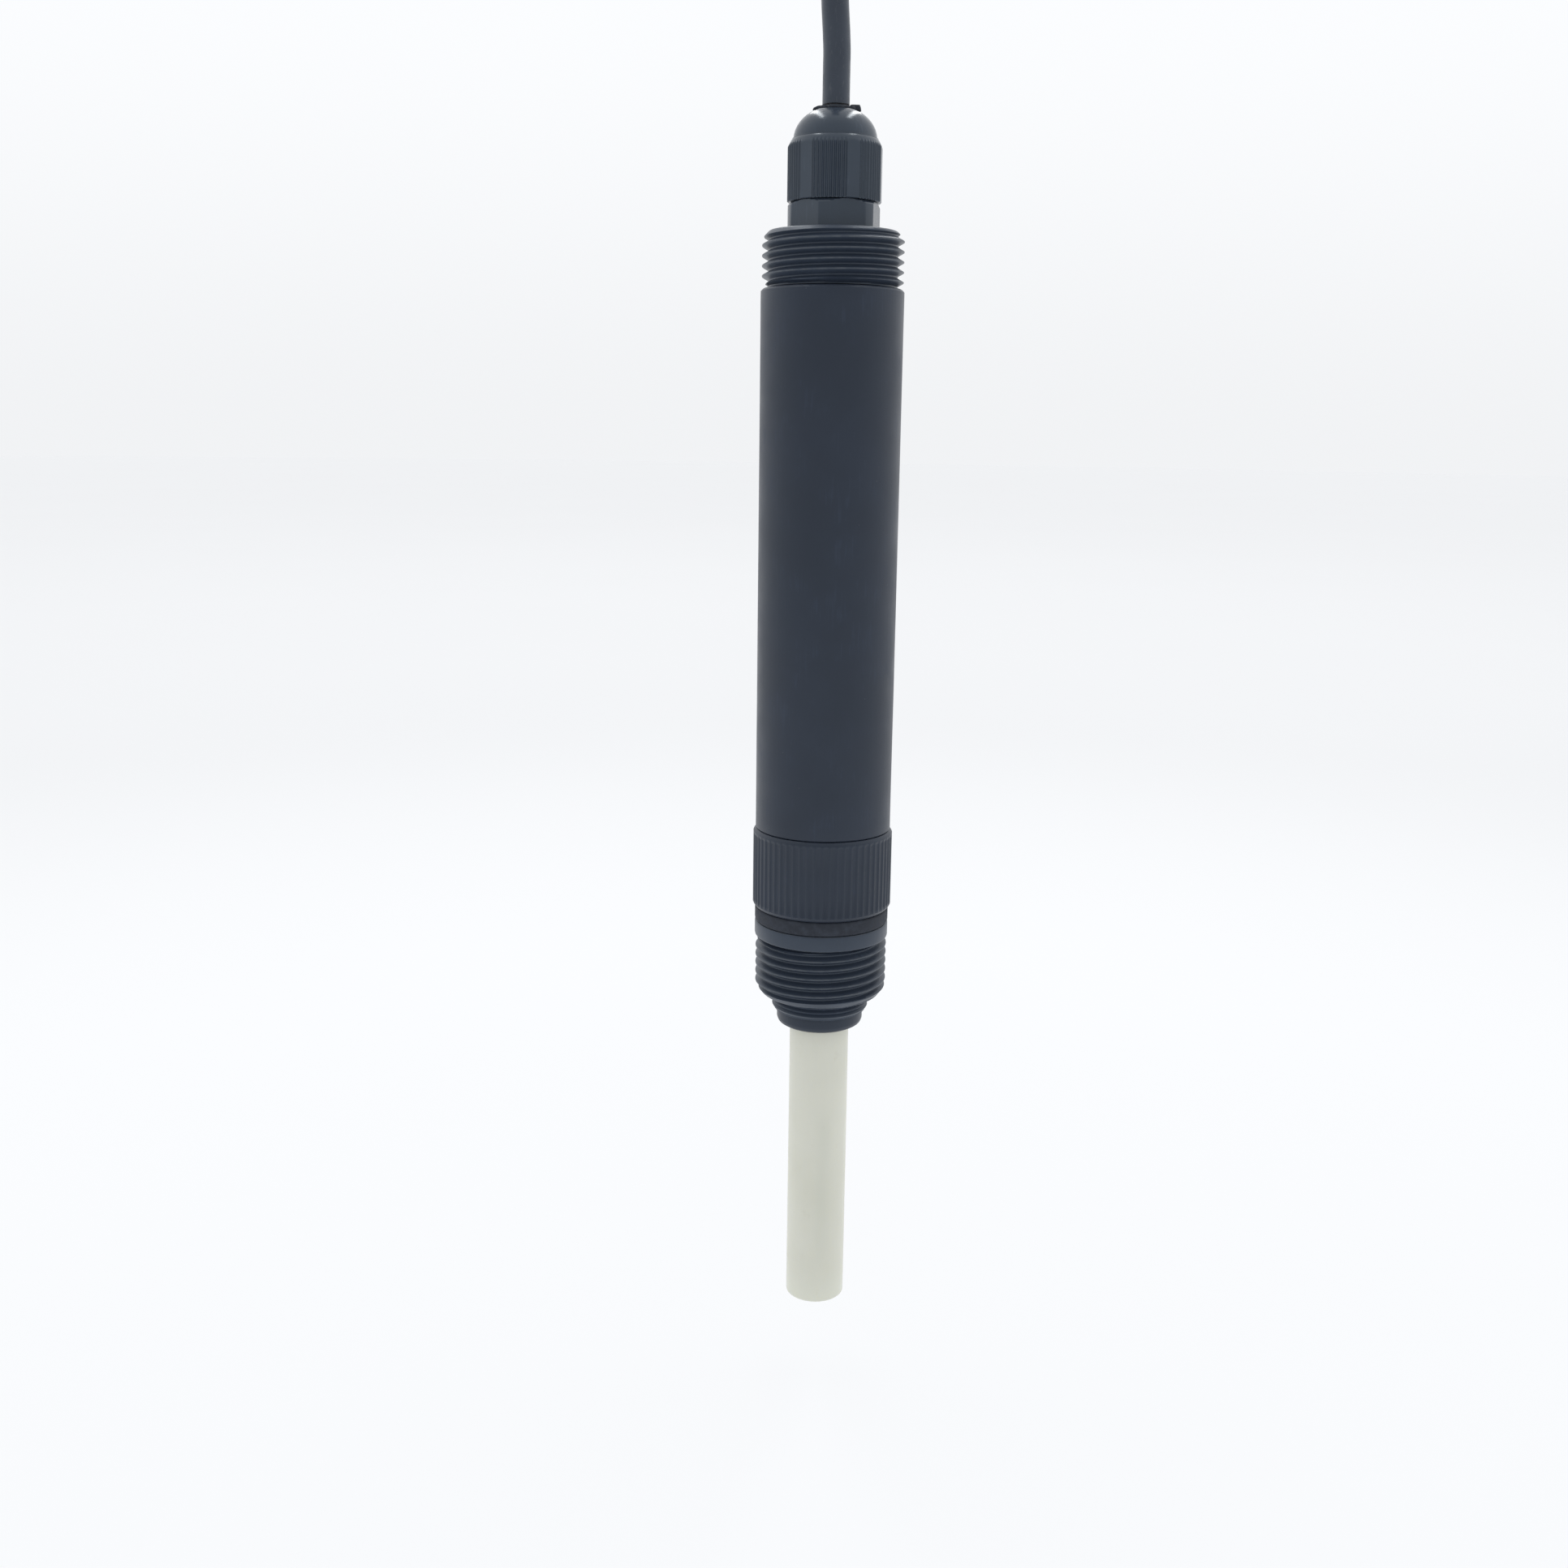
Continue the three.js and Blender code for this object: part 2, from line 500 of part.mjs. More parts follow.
// ---- Electrode module: heights run from the flange's underside, the seat of the lower thread ----
function buildModule() {
  const group = assembly(flangeSeat);
  const threadBottom = -LOWER_THREAD_LENGTH;
  const neckBottom = threadBottom - NECK_HEIGHT;
  const retainerBottom = neckBottom - RETAINER_HEIGHT;
  const flangeTop = FLANGE_HEIGHT - GAP;
  const gasketTop = FLANGE_HEIGHT + GASKET_HEIGHT - GAP;
  const collarBottom = FLANGE_HEIGHT + GASKET_HEIGHT;
  const collarTop = collarBottom + COLLAR_LENGTH;
  const tubeEnd = collarTop - TUBE_SPIGOT_LENGTH;
  const neckRadius = 10.3;
  const bore = ROD_RADIUS + GAP;
  const seatFloor = 1.5;
  const lowSeat = neckBottom + 2.1;
  const spigotTop = 19.5;
  const grooveFloor = 8.7;
  const oRingHeight = 16;

  const threaded = common(
    threadedRod(THREAD_RADIUS, THREAD_PITCH, THREAD_DEPTH, threadBottom, 0, LOWER_CREST_Z),
    turned([
      [bore, threadBottom], [THREAD_RADIUS - 1.3, threadBottom], [THREAD_RADIUS + 0.1, threadBottom + 1.8],
      [THREAD_RADIUS + 0.1, -1.1], [THREAD_RADIUS - THREAD_DEPTH, -0.4], [THREAD_RADIUS - THREAD_DEPTH, 1],
      [bore, 1],
    ]),
  );
  const body = turned([
    [SEAT_BORE, neckBottom], [9.3, neckBottom], [9.7, neckBottom + EDGE], [9.7, threadBottom + 0.6],
    [11.8, threadBottom + 0.6], [11.8, 0], [TUBE_RADIUS, 0], [TUBE_RADIUS, flangeTop - EDGE],
    [TUBE_RADIUS - EDGE, flangeTop], [neckRadius, flangeTop], [neckRadius, 8], [9.3, 8],
    [9.3, tubeEnd - 0.1], [9.9, tubeEnd + 0.3], [9.9, oRingHeight - 1], [grooveFloor, oRingHeight - 1],
    [grooveFloor, oRingHeight + 1], [9.9, oRingHeight + 1], [9.9, spigotTop - 0.5],
    [9.5, spigotTop], [SEAT_BORE, spigotTop], [SEAT_BORE, seatFloor], [bore, seatFloor],
    [bore, lowSeat], [SEAT_BORE, lowSeat],
  ]);
  piece(group, 'lower_fitting', join(body, threaded), LOOKS.satinBlack);

  piece(group, 'retaining_ring', turned([
    [bore, retainerBottom], [7.6, retainerBottom], [8.3, retainerBottom + 0.3],
    [NUT_RADIUS, retainerBottom + 1.1], [NUT_RADIUS, neckBottom - GAP], [bore, neckBottom - GAP],
  ]), LOOKS.satinBlack);
  piece(group, 'flange_gasket', turned([
    [10.6, FLANGE_HEIGHT], [13, FLANGE_HEIGHT], [TUBE_RADIUS, FLANGE_HEIGHT + EDGE],
    [TUBE_RADIUS, gasketTop - EDGE], [13, gasketTop], [10.6, gasketTop],
  ]), LOOKS.rubber);

  const collarBody = turned([
    [10.6, collarBottom], [COLLAR_RADIUS - 0.7, collarBottom], [COLLAR_RADIUS + 0.1, collarBottom + 0.8],
    [COLLAR_RADIUS + 0.1, collarTop - GAP - 0.8], [COLLAR_RADIUS - 0.7, collarTop - GAP],
    [TUBE_SPIGOT_RADIUS + GAP, collarTop - GAP], [TUBE_SPIGOT_RADIUS + GAP, 8], [10.6, 8],
  ]);
  const collar = common(prism(collarOutline(), collarBottom - 1, collarTop + 1), collarBody);
  piece(group, 'coupling_collar', collar, LOOKS.satinBlack);

  const splitRing = ring(9.6, 11.7, 8.3, tubeEnd - GAP, ROUND);
  const split = block(4, 2, 6, 11, 0, 10);
  piece(group, 'split_thrust_ring', cut(splitRing, split), LOOKS.ceramic);
  piece(group, 'housing_o_ring', oRing(9.42, 0.52, oRingHeight), LOOKS.rubber);
  piece(group, 'head_o_ring', oRing(6.98, 0.55, seatFloor + 0.8), LOOKS.rubber);
  piece(group, 'tip_o_ring', oRing(6.98, 0.55, lowSeat - 0.9), LOOKS.rubber);
  buildElectrode(group, retainerBottom);
}

// ---- Electrode: glass pH membrane inside the white sleeve ----
function buildElectrode(group, sleeveExit) {
  const tip = sleeveExit - ROD_LENGTH;
  const sleeveTop = 4.7;
  const stem = { outer: 3.3, inner: 2.5, top: 4.2 };
  const bulb = { radius: 4.2, wall: 0.5, centre: tip + 6.2 };
  const neckTop = bulb.centre + 3.6;

  piece(group, 'electrode_sleeve', turned([
    [ROD_BORE, tip], [ROD_RADIUS - 0.9, tip], [ROD_RADIUS - 0.25, tip + 0.3], [ROD_RADIUS, tip + 1],
    [ROD_RADIUS, sleeveTop], [ROD_BORE, sleeveTop],
  ], ROUND), LOOKS.whiteSleeve);

  const outerNeck = THREE.MathUtils.radToDeg(Math.acos(stem.outer / bulb.radius));
  const innerRadius = bulb.radius - bulb.wall;
  const innerNeck = THREE.MathUtils.radToDeg(Math.acos((stem.outer - bulb.wall) / innerRadius));
  piece(group, 'glass_bulb', turned([
    ...arc(bulb.radius, bulb.radius, bulb.centre, -90, outerNeck, 6), [stem.outer, neckTop],
    [stem.outer - bulb.wall, neckTop], ...arc(innerRadius, innerRadius, bulb.centre, innerNeck, -90, 6),
  ].map(([radius, height]) => [radius < 1e-9 ? 0 : radius, height]), SMALL_ROUND), LOOKS.glass);
  piece(group, 'glass_stem', ring(stem.inner, stem.outer, neckTop + GAP, stem.top), LOOKS.glass);
  const junction = ring(stem.outer + GAP, ROD_BORE - GAP, tip + 12.7, tip + 16.2);
  piece(group, 'junction_ring', junction, LOOKS.ceramic);
  piece(group, 'stem_stopper', ring(0.7, stem.inner - GAP, 0.5, 3.9, 12), LOOKS.silicone);
  piece(group, 'silver_wire', rod(0.35, bulb.centre - 1, sleeveTop, TINY_ROUND), LOOKS.silver);

  const annulus = (stem.outer + ROD_BORE) / 2;
  const wirePlace = polar(annulus, 180);
  const probePlace = polar(annulus, 318);
  const referenceWire = rod(0.35, tip + 21, sleeveTop - GAP, TINY_ROUND).translate(...wirePlace, 0);
  piece(group, 'reference_wire', referenceWire, LOOKS.silver);
  const probe = rod(0.45, tip + 29, tip + 41, TINY_ROUND).translate(...probePlace, 0);
  piece(group, 'temperature_probe', probe, LOOKS.steel);

  const headRadius = SEAT_BORE - GAP;
  piece(group, 'electrode_head', turned([
    [1.2, sleeveTop + GAP], [ROD_RADIUS + GAP, sleeveTop + GAP], [ROD_RADIUS + GAP, 3.3], [headRadius, 3.3],
    [headRadius, 8.5], [3.5, 8.5], [3, 16], [1.2, 16],
  ], SMALL_ROUND), LOOKS.glossBlack);
  const pin = turned([
    [0, 5.2], [0.9, 5.2], [0.9, 26.8], [0.4, 27.4], [0, 27.4],
  ], TINY_ROUND);
  piece(group, 'contact_pin', pin, LOOKS.gold);
  piece(group, 'contact_ring', ring(4.3, 5.8, 8.8, 9.6), LOOKS.gold);
  piece(group, 'lock_ring', ring(6.2, headRadius, 8.8, 11.5), LOOKS.satinBlack);
}

buildPlug();
buildCable();
buildGland();
buildHousing();
buildModule();

export default sensor;
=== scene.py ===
"""Immersion pH sensor hanging on its cable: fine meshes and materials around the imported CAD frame.

Outlines are in millimetres and become metres when a mesh is made. A piece's place and size come from
its CAD node's box. Bores and edges that a box doesn't give are named below or stand in the outline.
"""
import json
import math
import random

import bmesh
import bpy
from mathutils import Matrix, Vector, noise


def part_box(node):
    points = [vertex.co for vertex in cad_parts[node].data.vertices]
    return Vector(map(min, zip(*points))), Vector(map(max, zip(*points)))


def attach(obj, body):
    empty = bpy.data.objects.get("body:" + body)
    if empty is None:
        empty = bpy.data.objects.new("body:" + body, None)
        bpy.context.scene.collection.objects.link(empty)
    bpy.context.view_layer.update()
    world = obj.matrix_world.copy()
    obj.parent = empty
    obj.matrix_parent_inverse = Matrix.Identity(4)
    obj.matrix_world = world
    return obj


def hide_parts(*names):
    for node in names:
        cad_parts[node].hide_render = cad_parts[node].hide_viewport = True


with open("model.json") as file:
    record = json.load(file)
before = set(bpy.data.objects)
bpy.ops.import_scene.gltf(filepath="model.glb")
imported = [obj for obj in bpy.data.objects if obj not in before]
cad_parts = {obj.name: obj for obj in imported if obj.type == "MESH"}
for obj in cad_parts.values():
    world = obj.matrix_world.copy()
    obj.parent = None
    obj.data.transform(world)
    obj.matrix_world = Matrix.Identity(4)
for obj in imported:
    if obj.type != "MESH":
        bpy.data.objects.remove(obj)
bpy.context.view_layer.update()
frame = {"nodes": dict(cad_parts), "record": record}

MM = 0.001
TURN = 2 * math.pi

# ---- Sizes that a node's box doesn't give, in millimetres ----
CABLE_RADIUS = 2.5
CABLE_BOW = -0.7  # the taut cable bows a little towards -X
CABLE_STRAIGHT = 7.2  # the seal slides up this stretch when the nut is undone
TUBE_BORE = 10.2
TUBE_SPIGOT_RADIUS = 11.9
TUBE_SPIGOT_LENGTH = 10
THREAD_RADIUS = 13.22
THREAD_PITCH = 1.814
THREAD_DEPTH = 1.16
UPPER_CREST = 1.14
LOWER_CREST = -1.6
NUT_RADIUS = 8.7
NUT_HEIGHT = 10.9
NUT_CHAMFER = 1.5
NUT_ARC_ANGLE = 263
NUT_ARC_SPAN = 44
NUT_RIBS = 9
RIB_DEPTH = 0.27
DOME_RADIUS = 7.7
DOME_RISE = 5.9
DOME_HOLE = 3.9
HEX_FLATS = 16
HEX_CORNER_ANGLE = 258
HEX_TOP = 5.05
COLLAR_RIBS = 60
COLLAR_RIB_DEPTH = 0.22
FLANGE_TOP = 3.15
LOWER_THREAD_LENGTH = 12
NECK_HEIGHT = 3.6
SCREW_PITCH = 1.5  # the gland's and the collar's own screw threads
SCREW_DEPTH = 0.38
ROD_BORE = 4.8


# ---- Camera ----
CAMERA_DISTANCE = 0.317
CAMERA_HEIGHT = -0.1454
CAMERA_PITCH = 12.35
CAMERA_YAW = -1.42
CAMERA_ROLL = 0.75
LENS = 37.45


def make_camera():
    data = bpy.data.cameras.new("camera")
    data.lens = LENS
    data.sensor_width = 36
    data.clip_start = 0.01
    data.clip_end = 50
    camera = bpy.data.objects.new("camera", data)
    bpy.context.scene.collection.objects.link(camera)
    aim = Matrix.Rotation(math.radians(-CAMERA_YAW), 4, "Z")
    tilt = Matrix.Rotation(math.radians(90 - CAMERA_PITCH), 4, "X")
    roll = Matrix.Rotation(math.radians(CAMERA_ROLL), 4, "Z")
    camera.matrix_world = Matrix.Translation((0, -CAMERA_DISTANCE, CAMERA_HEIGHT)) @ aim @ tilt @ roll
    bpy.context.scene.camera = camera


make_camera()


# ---- Mesh helpers ----
def levels(node):
    """Bottom, top and largest radius of a CAD node, in millimetres."""
    low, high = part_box(node)
    return low.z / MM, high.z / MM, max(high.x, high.y) / MM


def polar(radius, angle):
    return radius * math.cos(angle), radius * math.sin(angle)


def clamp(value, low, high):
    return max(low, min(high, value))


def make_mesh(name, points, faces, crease=40):
    """A mesh object from points in millimetres, with welded seams, no flat slivers and smooth shading."""
    mesh = bpy.data.meshes.new(name)
    mesh.from_pydata([(x * MM, y * MM, z * MM) for x, y, z in points], [], faces)
    work = bmesh.new()
    work.from_mesh(mesh)
    bmesh.ops.remove_doubles(work, verts=work.verts, dist=2e-6)
    bmesh.ops.dissolve_degenerate(work, edges=work.edges, dist=1e-6)
    loose = [v for v in work.verts if not v.link_faces]
    bmesh.ops.delete(work, geom=loose, context="VERTS")
    bmesh.ops.recalc_face_normals(work, faces=work.faces)
    work.to_mesh(mesh)
    work.free()
    mesh.shade_smooth()
    mesh.set_sharp_from_angle(angle=math.radians(crease))
    piece = bpy.data.objects.new(name, mesh)
    bpy.context.scene.collection.objects.link(piece)
    return piece


def swept(name, columns, outline, crease=40):
    """A closed body whose outline of (radius, height) points may change with the angle."""
    points = []
    for column in range(columns + 1):
        angle = TURN * column / columns
        points += [(*polar(radius, angle), height) for radius, height in outline(angle)]
    rows = len(points) // (columns + 1)
    faces = []
    for column in range(columns):
        for row in range(rows):
            a = column * rows + row
            b = column * rows + (row + 1) % rows
            faces.append((a, a + rows, b + rows, b))
    return make_mesh(name, points, faces, crease)


def fillet(points, radius=0.15, steps=3):
    """The closed outline with its corners turned into arcs. A point may carry a radius of its own."""
    out = []
    for i, (r, z, *own) in enumerate(points):
        here = Vector((r, z))
        size = own[0] if own else radius
        before = Vector(points[i - 1][:2]) - here
        after = Vector(points[(i + 1) % len(points)][:2]) - here
        if size == 0 or before.length < 1e-6 or after.length < 1e-6:
            out.append((r, z))
            continue
        half = max(before.angle(after) / 2, 0.05)
        reach = min(size / math.tan(half), 0.45 * before.length, 0.45 * after.length)
        if reach < 0.01:
            out.append((r, z))
            continue
        start = here + before.normalized() * reach
        end = here + after.normalized() * reach
        for step in range(steps + 1):
            s = step / steps
            spot = start * (1 - s) ** 2 + here * 2 * s * (1 - s) + end * s * s
            out.append((max(spot.x, 0), spot.y))
    return out


def turned(name, outline, columns=160, radius=0.15, crease=40):
    rounded = fillet(outline, radius)
    return swept(name, columns, lambda angle: rounded, crease)


def box_between(low, high):
    """Points and faces of a block between two corners, in millimetres."""
    xs, ys, zs = zip(low, high)
    points = [(x, y, z) for x in xs for y in ys for z in zs]
    faces = [(0, 1, 3, 2), (4, 6, 7, 5), (0, 4, 5, 1), (2, 3, 7, 6), (0, 2, 6, 4), (1, 5, 7, 3)]
    return points, faces


def bevel(piece, width, segments=3):
    change = piece.modifiers.new("edges", "BEVEL")
    change.width = width * MM
    change.segments = segments
    change.limit_method = "ANGLE"


def arc(half_width, half_height, centre, start, end, steps):
    """Points of an elliptical arc about (0, centre), between two angles in degrees."""
    points = []
    for step in range(steps + 1):
        x, y = polar(1, math.radians(start + (end - start) * step / steps))
        points.append((half_width * x, centre + half_height * y))
    return points


def envelope_of(points):
    """A function that gives the radius at a height, from (radius, height) points in rising order."""
    def radius_at(height):
        if height <= points[0][1]:
            return points[0][0]
        for (r0, z0), (r1, z1) in zip(points, points[1:]):
            if height <= z1:
                share = (height - z0) / max(z1 - z0, 1e-9)
                return r0 + (r1 - r0) * share
        return points[-1][0]
    return radius_at


def thread_reach(phase):
    """How deep below the crest a pipe thread's surface is at a phase, where a whole number is a crest."""
    away = abs(phase - round(phase))
    share = clamp((away - 0.045) / (0.43 - 0.045), 0, 1)
    eased = share * share * (3 - 2 * share)
    return 0.65 * share + 0.35 * eased


HALF_THREAD = (0.02, 0.05, 0.09, 0.18, 0.3, 0.4, 0.44)
THREAD_STEPS = (-0.5, *(-step for step in reversed(HALF_THREAD)), *HALF_THREAD)


def thread_rows(angle, radius, depth, pitch, crest, bottom, top, envelope):
    """Rows of (radius, height) along a right-hand thread at one angle, from its bottom to its top."""
    rows = []
    first = math.floor((bottom - crest) / pitch) - 2
    last = math.ceil((top - crest) / pitch) + 1
    for turn in range(first, last + 1):
        for offset in THREAD_STEPS:
            height = clamp(crest + (turn + offset + angle / TURN) * pitch, bottom, top)
            phase = (height - crest) / pitch - angle / TURN
            reach = radius - depth * thread_reach(phase)
            rows.append((min(reach, envelope(height)), height))
    return rows


def smooth_step(value):
    share = clamp(value, 0, 1)
    return share * share * (3 - 2 * share)


# ---- Material helpers ----
class Finish:
    """A procedural material built around one Principled shader, in the object's own coordinates."""

    def __init__(self, name, **sockets):
        self.material = bpy.data.materials.new(name)
        self.material.use_nodes = True
        self.tree = self.material.node_tree
        self.shader = self.tree.nodes["Principled BSDF"]
        self.place = self.node("ShaderNodeTexCoord").outputs["Object"]
        for socket, value in sockets.items():
            self.shader.inputs[socket.replace("_", " ")].default_value = value

    def node(self, kind, **settings):
        made = self.tree.nodes.new(kind)
        for key, value in settings.items():
            setattr(made, key, value)
        return made

    def link(self, source, target):
        self.tree.links.new(source, target)

    def stretched(self, scale):
        mapping = self.node("ShaderNodeMapping")
        mapping.inputs["Scale"].default_value = scale
        self.link(self.place, mapping.inputs["Vector"])
        return mapping.outputs["Vector"]

    def noise(self, size, detail=3, stretch=(1, 1, 1), roughness=0.55):
        """Noise with features of a size in millimetres, between 0 and 1."""
        made = self.node("ShaderNodeTexNoise")
        made.inputs["Scale"].default_value = 1 / (size * MM)
        made.inputs["Detail"].default_value = detail
        made.inputs["Roughness"].default_value = roughness
        self.link(self.stretched(stretch), made.inputs["Vector"])
        return made.outputs["Fac"]

    def specks(self, size, stretch=(1, 1, 1)):
        """Distance from scattered points, 0 at each point, with a spacing in millimetres."""
        made = self.node("ShaderNodeTexVoronoi")
        made.inputs["Scale"].default_value = 1 / (size * MM)
        self.link(self.stretched(stretch), made.inputs["Vector"])
        return made.outputs["Distance"]

    def ramp(self, value, low, high, start=0.0, end=1.0):
        """A value spread from start to end as it goes from low to high."""
        made = self.node("ShaderNodeMapRange", interpolation_type="SMOOTHSTEP")
        for socket, number in zip(("From Min", "From Max", "To Min", "To Max"), (low, high, start, end)):
            made.inputs[socket].default_value = number
        self.link(value, made.inputs["Value"])
        return made.outputs["Result"]

    def math(self, operation, first, second):
        made = self.node("ShaderNodeMath", operation=operation)
        for socket, value in zip(made.inputs, (first, second)):
            if isinstance(value, (int, float)):
                socket.default_value = value
            else:
                self.link(value, socket)
        return made.outputs["Value"]

    def colours(self, factor, first, second):
        """A mix of two colours, each a tuple or another mix."""
        made = self.node("ShaderNodeMix", data_type="RGBA")
        self.link(factor, made.inputs["Factor"])
        for socket, value in zip((made.inputs[6], made.inputs[7]), (first, second)):
            if isinstance(value, tuple):
                socket.default_value = (*value, 1)
            else:
                self.link(value, socket)
        return made.outputs[2]

    def split(self):
        made = self.node("ShaderNodeSeparateXYZ")
        self.link(self.place, made.inputs["Vector"])
        return made.outputs

    def radius(self):
        """Distance from the sensor's axis, in metres."""
        x, y, _ = self.split()
        squares = self.math("ADD", self.math("MULTIPLY", x, x), self.math("MULTIPLY", y, y))
        return self.math("SQRT", squares, 0)

    def bump(self, *heights):
        """Bumps in turn, each a (value, depth in millimetres) pair."""
        normal = None
        for value, depth in heights:
            made = self.node("ShaderNodeBump")
            made.inputs["Distance"].default_value = depth * MM
            made.inputs["Strength"].default_value = 1
            self.link(value, made.inputs["Height"])
            if normal is not None:
                self.link(normal, made.inputs["Normal"])
            normal = made.outputs["Normal"]
        self.link(normal, self.shader.inputs["Normal"])

    def feed(self, socket, value):
        self.link(value, self.shader.inputs[socket])


COOL_SHEEN = (0.84, 0.93, 1.0, 1)  # colour of the gloss on every black piece


def moulded_black(name, dark, pale, gloss, grain, spec=0.35, crest=None):
    """Black moulded or turned plastic: cloudy tone, handling scuffs, dust specks, fine grain and, given a
    crest radius, a lighter band on the crests that is a painted highlight with some wear.
    """
    look = Finish(name, Specular_IOR_Level=spec, Specular_Tint=COOL_SHEEN)
    cloud = look.noise(14, 4)
    tone = look.colours(look.ramp(cloud, 0.3, 0.72), dark, pale)
    rub = look.math("MULTIPLY", look.noise(7, 3), look.noise(0.5, 2, (1, 1, 0.08)))
    rubbed = look.ramp(rub, 0.3, 0.45)
    tone = look.colours(look.math("MULTIPLY", rubbed, 0.3), tone, tuple(1.7 * c for c in pale))
    dust = look.ramp(look.specks(3.1), 0.012, 0.03, 1.0, 0.0)
    tone = look.colours(look.math("MULTIPLY", dust, 0.4), tone, (0.16, 0.165, 0.17))
    # A lighter band along the thread crests: a painted highlight, partly real rubbing wear.
    if crest:
        radius = look.radius()
        crest_highlight_and_wear = look.math("MULTIPLY", look.ramp(radius, (crest - 0.25) * MM, crest * MM),
                         look.ramp(radius, (crest + 0.04) * MM, (crest + 0.1) * MM, 1.0, 0.0))
        crest_highlight_and_wear = look.math("MULTIPLY", crest_highlight_and_wear, look.ramp(look.noise(1.6, 3), 0.3, 0.6, 0.25, 0.75))
        tone = look.colours(crest_highlight_and_wear, tone, (0.075, 0.084, 0.098))
    look.feed("Base Color", tone)
    smear = look.math("ADD", look.ramp(look.noise(9, 4), 0.3, 0.7, gloss, gloss + 0.08),
                      look.math("MULTIPLY", rubbed, 0.06))
    look.feed("Roughness", smear)
    fine = look.noise(0.16, 2)
    drawn = look.noise(0.35, 3, (1, 1, 0.02))
    look.bump((fine, grain), (drawn, grain * 0.8), (dust, 0.02))
    return look.material


def housing_plastic():
    dark = (0.0118, 0.0172, 0.0315)
    pale = (0.0145, 0.021, 0.038)
    return moulded_black("housing_plastic", dark, pale, 0.36, 0.01, 0.5)


def thread_plastic_painted_light(name):
    """The housing's plastic where a tool has cut its threads: painted a little lighter as light on the
    thread flanks, with a painted highlight along the crests that is partly rubbing wear.
    """
    # These tones are lighter than the housing's own black: painted light on the threads.
    dark = (0.028, 0.038, 0.058)
    pale = (0.033, 0.0445, 0.067)
    return moulded_black(name, dark, pale, 0.34, 0.006, 0.5, THREAD_RADIUS)


def gland_plastic():
    dark = (0.029, 0.039, 0.056)
    pale = (0.034, 0.0455, 0.065)
    return moulded_black("gland_plastic", dark, pale, 0.17, 0.004, 0.6)


def plug_plastic():
    return moulded_black("plug_plastic", (0.0105, 0.0125, 0.0175), (0.014, 0.0165, 0.022), 0.42, 0.012)


def cable_jacket():
    look = Finish("cable_jacket", Specular_IOR_Level=0.65, Specular_Tint=COOL_SHEEN)
    cloud = look.ramp(look.noise(6, 4), 0.3, 0.7)
    tone = look.colours(cloud, (0.023, 0.029, 0.044), (0.029, 0.036, 0.053))
    dust = look.ramp(look.noise(0.5, 3, (1, 1, 0.3)), 0.58, 0.75)
    tone = look.colours(look.math("MULTIPLY", dust, 0.35), tone, (0.10, 0.105, 0.115))
    look.feed("Base Color", tone)
    look.feed("Roughness", look.ramp(look.noise(2, 4), 0.3, 0.7, 0.27, 0.42))
    lay = look.noise(3.2, 2, (1, 1, 0.4))
    look.bump((lay, 0.05), (look.noise(0.22, 2), 0.008))
    return look.material


def seal_rubber():
    look = Finish("seal_rubber", Specular_IOR_Level=0.25)
    bloom = look.ramp(look.noise(1.4, 4), 0.42, 0.68)
    tone = look.colours(bloom, (0.022, 0.027, 0.038), (0.04, 0.047, 0.062))
    look.feed("Base Color", tone)
    look.feed("Roughness", look.ramp(bloom, 0, 1, 0.6, 0.85))
    look.bump((look.noise(0.3, 3), 0.03))
    return look.material


def plug_seal():
    look = Finish("plug_seal", Specular_IOR_Level=0.3)
    look.feed("Base Color", look.colours(look.noise(1.2, 3), (0.30, 0.022, 0.015), (0.42, 0.045, 0.03)))
    look.feed("Roughness", look.ramp(look.noise(0.8, 2), 0.3, 0.7, 0.45, 0.65))
    look.bump((look.noise(0.2, 2), 0.01))
    return look.material


def sleeve_plastic():
    """Milky white plastic in which the darker glass and probe inside show faintly."""
    look = Finish("sleeve_plastic", Specular_IOR_Level=0.4, Subsurface_Weight=0.12,
                  Subsurface_Scale=4 * MM)
    x, y, z = look.split()
    bottom, top, _ = levels("electrode_sleeve")
    cloud = look.ramp(look.noise(16, 3), 0.3, 0.7)
    milk = look.colours(cloud, (0.69, 0.693, 0.595), (0.725, 0.728, 0.635))
    off_centre = look.math("ABSOLUTE", look.math("SUBTRACT", x, 1.3 * MM), 0)
    stem_band = look.ramp(off_centre, 0, 2.6 * MM, 1, 0)
    core_low = look.ramp(z, (bottom + 5) * MM, (bottom + 16) * MM)
    core_high = look.ramp(z, (bottom + 37) * MM, (bottom + 46) * MM, 1, 0)
    wander = look.ramp(look.noise(9, 2, (1, 1, 0.35)), 0.25, 0.75, 0.45, 1)
    stretch = look.math("MULTIPLY", core_low, core_high)
    core = look.math("MULTIPLY", look.math("MULTIPLY", stem_band, wander), stretch)
    milk = look.colours(look.math("MULTIPLY", core, 0.4), milk, (0.57, 0.595, 0.515))
    foot = look.ramp(z, bottom * MM, (bottom + 9) * MM, 0.5, 0)
    milk = look.colours(foot, milk, (0.73, 0.75, 0.66))
    stain = look.ramp(look.noise(3, 4), 0.62, 0.8)
    milk = look.colours(look.math("MULTIPLY", stain, 0.25), milk, (0.56, 0.545, 0.44))
    look.feed("Base Color", milk)
    look.shader.inputs["Subsurface Radius"].default_value = (1.0, 0.9, 0.6)
    look.feed("Roughness", look.ramp(look.noise(4, 4), 0.3, 0.7, 0.3, 0.46))
    lathe_marks = look.noise(0.16, 2, (0.02, 0.02, 1))
    look.bump((lathe_marks, 0.006), (look.noise(0.5, 3, (1, 1, 0.2)), 0.006))
    return look.material


